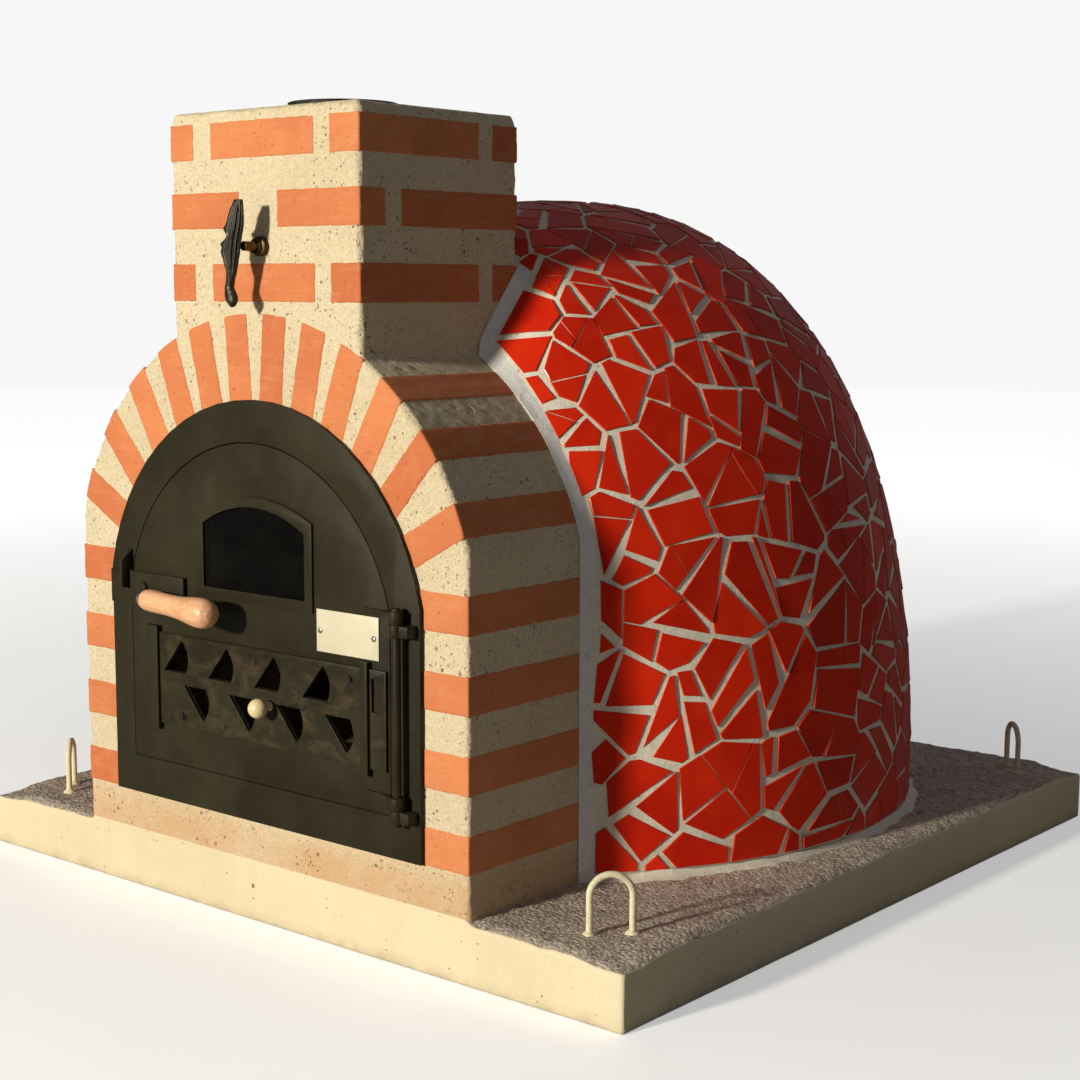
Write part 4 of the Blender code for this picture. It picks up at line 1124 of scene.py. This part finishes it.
def build_mosaic():
    draw = random.Random(5)
    seeds = cell_seeds(draw)
    vertices, faces, kinds, shades = [], [], [], []
    for index, (seed, weight) in enumerate(seeds):
        across, upward, normal = tile_frame(seed)
        cell = [Vector(corner) * CELL_REACH for corner in ((-1, -1), (1, -1), (1, 1), (-1, 1))]
        for other, (place, other_weight) in enumerate(seeds):
            gap = place - seed
            if other == index or gap.length > NEIGHBOUR_REACH:
                continue
            flat = Vector((gap.dot(across), gap.dot(upward)))
            if flat.length < 1e-4:
                continue
            way = flat.normalized()
            offset = gap.length / 2 + CELL_WEIGHT * (weight - other_weight) / gap.length / 2
            cell = clip(cell, way, offset)
            if len(cell) < 3:
                break
        if len(cell) < 3:
            continue
        for shard in shards_of(cell, draw):
            shard = loosened(shard, draw)
            shade = draw.random()
            tilt = (draw.gauss(0, TILE_TILT), draw.gauss(0, TILE_TILT))
            if len(shard) < 3 or area_of(shard) < LEAST_AREA:
                continue
            middle = middle_of(shard)
            centre = onto_dome(seed + across * middle.x + upward * middle.y, normal)
            for planes in masonry_zones(centre):
                add_tile(shard, seed, (across, upward, normal), shade, tilt, planes,
                         (vertices, faces, kinds, shades))
    mesh = bpy.data.meshes.new("mosaic")
    mesh.from_pydata(vertices, [], faces)
    mesh.polygons.foreach_set("material_index", kinds)
    set_shades(mesh, shades)
    mesh.validate()
    settle("mosaic_tiles", mesh, ["glaze", "tile_body"], "oven", ["mosaic_cladding"])


def add_tile(shard, seed, seed_frame, shade, tilt, planes, out, depth=0):
    """Lay the part of one flat shard that the planes leave on the dome, as a closed solid added to out."""
    vertices, faces, kinds, shades = out
    across, upward, normal = seed_frame
    middle = middle_of(shard)
    centre = onto_dome(seed + across * middle.x + upward * middle.y, normal)
    across2, upward2, normal2 = tile_frame(centre)
    normal2 = (normal2 + across2 * tilt[0] + upward2 * tilt[1]).normalized()
    # carry the seed's own directions over to the tile's plane
    side = (across - normal2 * across.dot(normal2)).normalized()
    rise = normal2.cross(side)
    outline = [p - middle for p in shard]
    for plane, offset in planes:
        flat = Vector((plane.dot(side), plane.dot(rise)))
        if flat.length < 0.05:
            if plane.dot(centre) > offset:
                return
            continue
        outline = clip(outline, flat.normalized(), (offset - plane.dot(centre)) / flat.length)
        if len(outline) < 3:
            return
    outline = without_short_sides(outline, SHORTEST_CUT_SIDE)
    if len(outline) < 3 or area_of(outline) < LEAST_CUT_AREA:
        return
    hub = middle_of(outline)
    steepness = dome_slope(centre).length
    proud = max(dome_side(centre + side * p.x + rise * p.y) for p in outline) / steepness
    if proud > PROUD_LIMIT and depth < 2:
        # too flat for the curve here: lay it as two pieces
        far = max(outline, key=lambda p: (p - hub).length)
        cut = (far - hub).normalized()
        for sign in (1, -1):
            half = clip(outline, cut * sign, hub.dot(cut) * sign - 0.0008)
            if len(half) > 2:
                centre_frame = (side, rise, normal2)
                add_tile(half, centre, centre_frame, shade, (0.0, 0.0), planes, out, depth + 1)
        return
    lift = -0.0004 - min(0.0010, max(0.0, proud - 0.0010))
    start = len(vertices)
    count = len(outline)
    for inset, height in ((TILE_BEVEL * 1.3, lift), (0.0, lift - TILE_BEVEL), (-0.0003, lift - TILE_DEPTH)):
        for p in outline:
            toward = hub - p
            q = p + toward * (inset / max(toward.length, 1e-4))
            vertices.append(centre + side * q.x + rise * q.y + normal2 * height)
            shades.append(shade)
    faces.append([start + k for k in range(count)])
    kinds.append(0)
    for ring in range(2):
        for k in range(count):
            j = (k + 1) % count
            low, high = start + ring * count, start + (ring + 1) * count
            faces.append([high + k, high + j, low + j, low + k])
            kinds.append(ring)
    faces.append([start + 2 * count + k for k in reversed(range(count))])
    kinds.append(1)


def build_grout():
    columns, rows = 220, 84

    def build(work):
        rings = []
        for r in range(rows):
            climb = (r / rows) ** 0.92
            ring = []
            for c in range(columns):
                p = settled_on_dome(dome_point(climb, 2 * math.pi * c / columns))
                n = dome_normal(p)
                p = p - n * (GROUT_SINK + 0.0006 * (1 + grain(p, 45, 4, 4)))
                if r == 0:
                    p.z = SLAB_TOP - 0.006
                ring.append(work.verts.new(p))
            rings.append(ring)
        rings.append([work.verts.new((0, DOME_Y, DOME_TOP - GROUT_SINK - 0.0006))])
        join_rings(work, rings)
        bmesh.ops.bisect_plane(work, geom=work.verts[:] + work.edges[:] + work.faces[:],
                               plane_co=(0, BLOCK_BACK_Y + 0.0015, 0), plane_no=(0, -1, 0), clear_outer=True)
    mesh = modified(mesh_from(build), "SOLIDIFY", thickness=0.012, offset=-1)
    smooth(mesh)
    settle("grout_bed", mesh, ["grout"], "oven", ["render_shell"])


def fillet(name, stations, look, wobble, seed):
    """A strip of cement in an inside corner. Each station holds the strip's two edges, the corner it
    curves towards and a point buried behind it."""
    steps = 7
    rings = []
    for first, corner, last, buried in stations:
        ring = []
        for k in range(steps + 1):
            t = k / steps
            p = first * (1 - t) ** 2 + corner * 2 * t * (1 - t) + last * t ** 2
            ring.append(p + (p - buried).normalized() * wobble * grain(p, 55, seed, 3))
        rings.append(ring + [last.lerp(buried, 0.8), buried, first.lerp(buried, 0.8)])
    mesh = skin(rings)
    shade_by_angle(mesh, 60)
    settle(name, mesh, [look], "oven")


def arc_station(x, z, way, reach):
    """Across the corner between the block's back edge and the dome, at right angles to a way out."""
    edge = Vector((x, BLOCK_BACK_Y, z))
    back = onto_dome(edge + Vector((0, reach, 0)), way, 0.09)
    last = back - dome_normal(back) * 0.0030
    corner = edge + Vector((0, 0.0020, 0)) + way * (0.25 * (last - edge).dot(way))
    return (edge + Vector((0, -0.0045, 0)) + way * 0.0006, corner, last,
            edge - way * 0.014 + Vector((0, 0.004, 0)))


def shelf_station(foot, out, reach=COVE_REACH, rise=0.013, roll=0.002, deep=0.012):
    """Across the corner between a wall of the chimney and the dome, which it faces with the way out."""
    beside = onto_dome(foot + out * reach, UP, 0.20)
    last = beside - dome_normal(beside) * 0.0030
    foot = onto_dome(foot, UP, 0.20)
    return (foot + UP * rise + out * 0.0006, foot + out * roll + UP * 0.002, last,
            foot - UP * 0.010 - out * deep)


def block_stations():
    """Up the block's right side and over its arc to the chimney."""
    outline = [(BLOCK_HALF, SLAB_TOP - 0.004 + k * 0.0222, 0.0) for k in range(20)]
    outline = [(x, z, angle) for x, z, angle in outline if z < SHOULDER_Z]
    start = math.atan2(BLOCK_HALF, SHOULDER_Z - BLOCK_ARC_Z)
    end = math.asin((CHIMNEY_RIGHT + 0.004) / BLOCK_ARC_RADIUS)
    outline += [(BLOCK_ARC_RADIUS * math.sin(a), BLOCK_ARC_Z + BLOCK_ARC_RADIUS * math.cos(a), a)
                for a in [start + (end - start) * k / 18 for k in range(19)]]
    stations = []
    for x, z, angle in outline:
        way = Vector((math.sin(angle), 0, math.cos(angle))) if angle else Vector((1, 0, 0))
        reach = COVE_REACH + 0.0045 * grain((x, BLOCK_BACK_Y, z), 17, 6, 3)
        stations.append(arc_station(x, z, way, reach))
    return stations


def build_coves():
    """The cement between dome and masonry: up the sides, along the chimney and round its back."""
    right = block_stations()
    left = [tuple(Vector((-p.x, p.y, p.z)) for p in station) for station in right]
    right_end = math.asin((CHIMNEY_RIGHT + 0.004) / BLOCK_ARC_RADIUS)
    left_end = math.asin(-(CHIMNEY_LEFT - 0.004) / BLOCK_ARC_RADIUS)
    # the chimney's left face is nearer the middle, so the left strip runs on a little further
    for k in range(1, 4):
        a = right_end + (left_end - right_end) * k / 3
        way = Vector((-math.sin(a), 0, math.cos(a)))
        left.append(arc_station(way.x * BLOCK_ARC_RADIUS, BLOCK_ARC_Z + way.z * BLOCK_ARC_RADIUS,
                                way, COVE_REACH))
    start_y = BLOCK_BACK_Y + 0.004
    for strip, side_x, outward in ((right, CHIMNEY_RIGHT, 1), (left, CHIMNEY_LEFT, -1)):
        for k in range(8):
            y = start_y + (CHIMNEY_BACK_Y - start_y) * k / 8
            strip.append(shelf_station(Vector((side_x, y, 0.82)), Vector((outward, 0, 0))))
        # the mitre at the chimney's back corner
        strip.append(shelf_station(Vector((side_x, CHIMNEY_BACK_Y, CHIMNEY_MIDDLE_Z)),
                                   Vector((outward, 1, 0)),
                                   reach=0.013, rise=0.0125, roll=0.0015, deep=0.010))
    behind = []
    for k in range(1, 16):
        x = CHIMNEY_RIGHT + (CHIMNEY_LEFT - CHIMNEY_RIGHT) * k / 16
        behind.append(shelf_station(Vector((x, CHIMNEY_BACK_Y, CHIMNEY_MIDDLE_Z)), Vector((0, 1, 0)),
                                    rise=0.012))
    fillet("cove", right + behind + list(reversed(left)), "cove", 0.0006, 3)


def build_foot():
    """The skirt of grout where the dome meets the slab."""
    foot = []
    start, end = -0.83, math.pi + 0.83
    count = 150
    for k in range(count + 1):
        azimuth = start + (end - start) * k / count
        low = dome_point(0.0, azimuth)
        rise = 0.0055 + 0.0035 * grain(low, 14, 8)
        high = dome_point(climb_of(rise), azimuth)
        out = Vector((low.x, low.y - DOME_Y, 0)).normalized()
        spread = 0.011 + 0.014 * grain(low, 9, 5, 4)
        first = high - dome_normal(high) * 0.0015
        last = Vector((low.x, low.y, 0)) + out * max(0.004, spread) + UP * (SLAB_TOP - 0.0035)
        corner = Vector((low.x, low.y, SLAB_TOP)) + out * 0.001
        foot.append((first, corner, last, Vector((low.x, low.y, SLAB_TOP - 0.008)) - out * 0.015))
    fillet("foot_fillet", foot, "grout", 0.0010, 9)


# ---------------------------------------------------------------- inside the oven
def build_inside():
    vault = cad_copy("refractory_dome")
    shade_by_angle(vault, 40)
    settle("vault", vault, ["firebrick"], "oven", ["refractory_dome"])
    low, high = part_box("hearth_floor")
    radius = (high.x - low.x) / 2 - 0.0005
    middle = Vector(((low.x + high.x) / 2, DOME_Y))
    circle = [(Vector((math.cos(math.pi * k / 24), math.sin(math.pi * k / 24))), radius) for k in range(48)]
    side, joint = 0.200, 0.0012
    meshes = []
    for i in range(-3, 3):
        for j in range(-3, 3):
            x0, y0 = i * side + joint, j * side + joint
            x1, y1 = (i + 1) * side - joint, (j + 1) * side - joint
            tile = [Vector(c) for c in ((x0, y0), (x1, y0), (x1, y1), (x0, y1))]
            for normal, offset in circle:
                tile = clip(tile, normal, offset)
            tile = without_short_sides(tile, 0.002)
            if len(tile) < 3:
                continue
            meshes.append(paving(tile, middle, low.z, high.z - 0.0004 * ((i * 3 + j * 5) % 4)))
    settle("hearth_tiles", joined(meshes), ["firebrick"], "oven", ["hearth_floor"])
    blanket = cad_copy("insulation_layer")
    for vertex in blanket.vertices:
        vertex.co = tucked_in(vertex.co)
    shade_by_angle(blanket, 50)
    settle("insulation_blanket", blanket, ["fibre"], "oven", ["insulation_layer"])
    NODES["hearth_insulation"].data.materials.clear()
    NODES["hearth_insulation"].data.materials.append(LOOKS["fibre"])


def paving(outline, middle, low, high):
    """One floor tile with a small chamfer, from its outline about the hearth's middle."""
    hub = middle_of(outline)
    rings = []
    for inset, height in ((0.0, low), (0.0, high - 0.0015), (0.0015, high)):
        ring = []
        for p in outline:
            toward = hub - p
            q = p + toward * (inset / max(toward.length, 1e-4)) + middle
            ring.append((q.x, q.y, height))
        rings.append(ring)
    return skin(rings)


# ---------------------------------------------------------------- door, hinge and latch
def build_door():
    for body, nodes in (
            ("oven", ("door_frame", "hinge_bracket_top", "hinge_bracket_bottom", "latch_keeper")),
            ("door", ("door_leaf", "window_frame", "vent_guide_left", "vent_guide_right", "hinge_rod",
                      "hinge_strap_top", "hinge_strap_bottom", "latch_pivot")),
            ("latch", ("latch_bar",))):
        for node in nodes:
            refined(node, "stove", body, 0.0005)
    refined("vent_slider", "stove_smeared", "vent", 0.0005)
    refined("window_glass", "glass", "door", 0.0004)
    refined("name_plate", "plate", "door", 0.0003)
    build_screws()
    build_bolts()
    build_grip()
    build_knob()


def cross_head(radius, height, slot_wide, slot_deep):
    """A domed screw head with crossed driver slots."""
    steps = 8
    profile = [(0, -0.0006), (radius, -0.0006), (radius, height * 0.25)]
    for k in range(1, steps):
        angle = math.pi / 2 * k / steps
        profile.append((radius * math.cos(angle), height * (0.25 + 0.75 * math.sin(angle))))
    profile.append((0, height))
    mesh = lathe(profile, 40)
    for turn in range(2):
        long = radius * 0.55
        slot = box_mesh((-long, -slot_wide / 2, height - slot_deep), (long, slot_wide / 2, height * 2))
        slot.transform(Matrix.Rotation(math.pi / 2 * turn + 0.35, 4, "Z"))
        cutter = link("slot", slot)
        mesh = modified(mesh, "BOOLEAN", operation="DIFFERENCE", solver="EXACT", object=cutter)
        bpy.data.objects.remove(cutter)
    shade_by_angle(mesh, 30)
    return mesh


def build_screws():
    for side in ("left", "right"):
        low, high, place = box_of(f"name_plate_screw_{side}")
        place.y = high.y
        head = cross_head((high.x - low.x) / 2, high.y - low.y, 0.0009, 0.0011)
        settle(f"plate_screw_{side}", aim(head, place, (0, -1, 0)), ["steel"], "door",
               [f"name_plate_screw_{side}"])


def build_bolts():
    """Two hexagon bolt heads that hold the slider's back plate."""
    low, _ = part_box("vent_slider")
    for number, (x, z, turn) in enumerate(((-0.143, 0.262, 0.2), (0.178, 0.355, 0.5))):
        washer = lathe([(0, 0), (0.0068, 0), (0.0068, 0.0008), (0.0064, 0.0011), (0, 0.0011)], 32)
        head = lathe([(0, 0.0011), (0.0050, 0.0011), (0.0050, 0.0036), (0.0042, 0.0044), (0, 0.0046)], 6)
        head.transform(Matrix.Rotation(turn, 4, "Z"))
        shade_by_angle(washer, 30)
        shade_by_angle(head, 20)
        mesh = aim(joined([washer, head]), Vector((x, low.y, z)), (0, -1, 0))
        settle(f"slider_bolt_{number + 1}", mesh, ["iron"], "vent")


def build_grip():
    axis = Vector((math.cos(GRIP_TURN), -math.sin(GRIP_TURN), 0))
    # distance along the grip, and its radius there
    knots = [(0.0, 0.0138), (0.006, 0.0150), (0.025, 0.0152), (0.052, 0.0147), (0.075, 0.0150),
             (0.100, 0.0164), (0.122, 0.0187), (0.140, 0.0200), (0.154, 0.0190), (0.163, 0.0150),
             (0.168, 0.0075), (0.169, 0.0)]
    profile = [(0.0, 0.0004), (0.0049, 0.0)]
    fine = 6
    for number, ((a, ra), (b, rb)) in enumerate(zip(knots, knots[1:])):
        before = knots[max(0, number - 1)]
        after = knots[min(len(knots) - 1, number + 2)]
        for k in range(fine):
            t = k / fine
            # Catmull-Rom through the turned profile
            m0, m1 = (rb - before[1]) / 2, (after[1] - ra) / 2
            radius = ((2 * t ** 3 - 3 * t ** 2 + 1) * ra + (t ** 3 - 2 * t ** 2 + t) * m0
                      + (-2 * t ** 3 + 3 * t ** 2) * rb + (t ** 3 - t ** 2) * m1)
            place = a + (b - a) * t
            # a fine turned line
            groove = 0.0006 * math.exp(-((place - 0.097) / 0.0009) ** 2)
            profile.append((max(0.0012, min(0.0200, radius)) - groove, place))
    profile.append((0.0, 0.169))
    mesh = lathe(profile, 56)
    for vertex in mesh.vertices:
        vertex.co -= vertex.normal * 0.00025 * (1 + grain(vertex.co, 30, 3, 2))
    shade_by_angle(mesh, 50)
    aim(mesh, GRIP_START, axis)
    settle("grip_turned", mesh, ["beech"], "latch", ["handle_grip"])

    rim = [(0, -0.0119), (0.0102, -0.0119), (0.0108, -0.0112), (0.0110, -0.0100), (0.0106, -0.0092),
           (0.0109, -0.0060), (0.0113, -0.0030), (0.0118, -0.0022), (0.0118, -0.0006),
           (0.0112, -0.0002), (0, -0.0002)]
    ferrule = lathe(rim, 48)
    shade_by_angle(ferrule, 40)
    aim(ferrule, GRIP_START, axis)
    settle("ferrule_spun", ferrule, ["steel"], "latch", ["handle_ferrule"])


def build_knob():
    low, high, centre = box_of("vent_knob")
    radius = (high.x - low.x) / 2
    centre.y = low.y + radius
    stem = high.y - centre.y
    steps = 22
    profile = [(0, -stem), (0.0062, -stem), (0.0062, -stem + 0.0012), (0.0048, -stem + 0.0018),
               (0.0048, -radius * 0.93)]
    for k in range(steps):
        angle = math.radians(-68 + 158 * k / steps)
        profile.append((radius * math.cos(angle), radius * math.sin(angle)))
    profile.append((0, radius))
    mesh = aim(lathe(profile, 48), centre, (0, -1, 0))
    shade_by_angle(mesh, 40)
    settle("knob_turned", mesh, ["knob"], "vent", ["vent_knob"])


# ---------------------------------------------------------------- chimney fittings
def ring_profile(inner, outer, low, high, lip):
    """A tube's closed section with rounded rims."""
    return [(inner, low + lip), (inner + lip, low), (outer - lip, low), (outer, low + lip),
            (outer, high - lip), (outer - lip, high), (inner + lip, high), (inner, high - lip),
            (inner, low + lip)]


def build_flue():
    low, high, middle = box_of("flue_pipe")
    middle.z = 0.0
    outer = (high.x - low.x) / 2
    refined("flue_pipe", "pipe", "oven", 0.0004, 60)
    low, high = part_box("flue_collar")
    collar_outer = (high.x - low.x) / 2
    mesh = lathe(ring_profile(outer + 0.0003, collar_outer, low.z, high.z, 0.0008), 96)
    aim(mesh, middle, UP)
    shade_by_angle(mesh, 50)
    settle("collar_rolled", mesh, ["pipe"], "oven", ["flue_collar"])
    refined("damper_plate", "pipe", "damper", 0.0004)
    refined("damper_spindle", "bronze", "damper", 0.0005)

    bore = 0.0063
    profile = [(bore, 0.0), (0.0123, 0.0), (0.0125, 0.0006), (0.0125, 0.0022), (0.0115, 0.0028),
               (0.0115, 0.0040), (0.0125, 0.0046), (0.0125, 0.0064), (0.0112, 0.0072), (0.0096, 0.0078),
               (0.0096, 0.0096), (0.0100, 0.0102), (0.0100, 0.0112), (0.0094, 0.0119), (bore, 0.0119),
               (bore, 0.0)]
    low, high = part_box("damper_bush")
    bush = aim(lathe(profile, 48), Vector((SPINDLE_X, high.y, SPINDLE_Z)), (0, -1, 0))
    shade_by_angle(bush, 35)
    settle("bush_turned", bush, ["bronze"], "oven", ["damper_bush"])
    build_handle()


def build_handle():
    """A cast lever like a fluted leaf: scroll and spur on its left edge, a thin neck, a curled toe."""
    # height, centre offset, half width and half depth
    knots = [(0.9450, 0.0027, 0.0071, 0.0034), (0.9420, 0.0023, 0.0080, 0.0046),
             (0.9320, -0.0008, 0.0115, 0.0062), (0.9226, -0.0025, 0.0130, 0.0074),
             (0.9150, -0.0042, 0.0139, 0.0082), (0.9080, -0.0054, 0.0135, 0.0086),
             (0.9000, -0.0071, 0.0126, 0.0088), (0.8920, -0.0102, 0.0137, 0.0088),
             (0.8810, -0.0135, 0.0158, 0.0086), (0.8675, -0.0128, 0.0114, 0.0076),
             (0.8560, -0.0121, 0.0076, 0.0064), (0.8463, -0.0141, 0.0061, 0.0056),
             (0.8367, -0.0165, 0.0067, 0.0054), (0.8300, -0.0149, 0.0088, 0.0060),
             (0.8250, -0.0133, 0.0100, 0.0066), (0.8193, -0.0121, 0.0088, 0.0064),
             (0.8150, -0.0114, 0.0053, 0.0048), (0.8118, -0.0114, 0.0022, 0.0022)]
    around, flutes, rows = 72, 6, 110

    def section(z):
        for above, below in zip(knots, knots[1:]):
            if below[0] <= z <= above[0]:
                linear = (above[0] - z) / (above[0] - below[0])
                t = (smooth_step(linear) + linear) / 2
                return [a + (b - a) * t for a, b in zip(above, below)]
        return knots[-1]

    def swell(z, centre, width):
        return math.exp(-((z - centre) / width) ** 2)

    rings = []
    for r in range(rows + 1):
        z = knots[0][0] + (knots[-1][0] - knots[0][0]) * r / rows
        _, offset, wide, deep = section(z)
        # the left edge: a scroll, then a notch, then a spur
        edge = (0.0062 * swell(z, 0.9095, 0.0042) - 0.0040 * swell(z, 0.9002, 0.0028)
                + 0.0068 * swell(z, 0.8905, 0.0030))
        strength = 0.22 * smooth_step((z - 0.838) / 0.03) * smooth_step((0.9440 - z) / 0.01)
        ring = []
        for k in range(around):
            angle = 2 * math.pi * k / around
            left = max(0.0, -math.cos(angle)) ** 2
            front = smooth_step(-math.sin(angle) * 1.5 + 0.35)
            rib = 1 - strength * front * (0.5 - 0.5 * math.cos(2 * flutes * angle))
            ring.append((SPINDLE_X + offset + wide * math.cos(angle) * rib - edge * left,
                         HANDLE_Y + min(0.0086, deep * math.sin(angle) * rib), z))
        rings.append(ring)
    mesh = skin(rings)
    shade_by_angle(mesh, 60)
    settle("handle_cast", mesh, ["iron"], "damper", ["damper_handle"])


# ---------------------------------------------------------------- stage
def build_stage():
    floor_mesh = mesh_from(lambda work: bmesh.ops.create_circle(work, cap_ends=True, radius=FLOOR_RADIUS,
                                                                segments=96))
    floor = link("floor", floor_mesh)
    floor.location.z = -0.0005
    pale = Look("pale floor", (0.90, 0.90, 0.90), 0.8)
    pale.mottle((2.5, 3), 0.35, 0.7, (0.87, 0.87, 0.87), 0.5)
    # the floor brightens away from the oven until it meets the backdrop
    away = pale.node("ShaderNodeVectorMath", operation="LENGTH")
    pale.feed(away.inputs[0], pale.place)
    preset(pale.shader, Emission_Color=(1.0, 1.0, 1.0, 1.0))
    seen = pale.node("ShaderNodeLightPath").outputs["Is Camera Ray"]
    glow = pale.range(away.outputs["Value"], *FLOOR_GLOW)
    pale.feed(pale.shader.inputs["Emission Strength"], pale.math("MULTIPLY", glow, seen))
    # what the oven gets back from the ground is duller
    pale.tint(pale.math("SUBTRACT", 1.0, seen), (0.34, 0.33, 0.30))
    floor_mesh.materials.append(pale.material)
    build_world()
    for light in LIGHTS:
        area_light(*light)
    # plain colours, with no film-like curve over them
    bpy.context.scene.view_settings.view_transform = "Standard"


def build_world():
    """A near-white backdrop that lights the oven only softly."""
    world = bpy.data.worlds.new("studio")
    world.use_nodes = True
    tree = world.node_tree
    ambient = tree.nodes["Background"]
    preset(ambient, Color=(0.93, 0.96, 1.0, 1.0), Strength=AMBIENT_STRENGTH)
    backdrop = tree.nodes.new("ShaderNodeBackground")
    preset(backdrop, Color=(1.0, 1.0, 1.0, 1.0), Strength=BACKDROP_STRENGTH)
    ray = tree.nodes.new("ShaderNodeLightPath")
    mix = tree.nodes.new("ShaderNodeMixShader")
    tree.links.new(ray.outputs["Is Camera Ray"], mix.inputs[0])
    tree.links.new(ambient.outputs[0], mix.inputs[1])
    tree.links.new(backdrop.outputs[0], mix.inputs[2])
    tree.links.new(mix.outputs[0], tree.nodes["World Output"].inputs["Surface"])
    bpy.context.scene.world = world


def area_light(name, place, size, power, colour, mirrored):
    light = bpy.data.lights.new(name, "AREA")
    light.energy = power
    light.color = colour
    light.shape = "DISK"
    light.size = size
    lamp = bpy.data.objects.new(name, light)
    lamp.location = place
    lamp.visible_glossy = mirrored
    lamp.rotation_euler = (LIGHT_TARGET - Vector(place)).to_track_quat("-Z", "Y").to_euler()
    bpy.context.scene.collection.objects.link(lamp)


def build_camera():
    level = Vector((math.cos(CAMERA_AZIMUTH), math.sin(CAMERA_AZIMUTH), 0.0))
    ahead = UP.cross(level) * math.cos(CAMERA_DOWN) - UP * math.sin(CAMERA_DOWN)
    above = level.cross(ahead)
    right = level * math.cos(CAMERA_ROLL) + above * math.sin(CAMERA_ROLL)
    upward = above * math.cos(CAMERA_ROLL) - level * math.sin(CAMERA_ROLL)
    data = bpy.data.cameras.new("camera")
    data.sensor_width = 36.0
    data.lens = CAMERA_LENS
    camera = bpy.data.objects.new("camera", data)
    matrix = Matrix((right, upward, -ahead)).transposed().to_4x4()
    matrix.translation = CAMERA_PLACE
    camera.matrix_world = matrix
    bpy.context.scene.collection.objects.link(camera)
    bpy.context.scene.camera = camera


build_camera()
build_slab()
build_loops()
build_front()
build_chimney()
build_mosaic()
build_grout()
build_coves()
build_foot()
build_inside()
build_door()
build_flue()
build_stage()
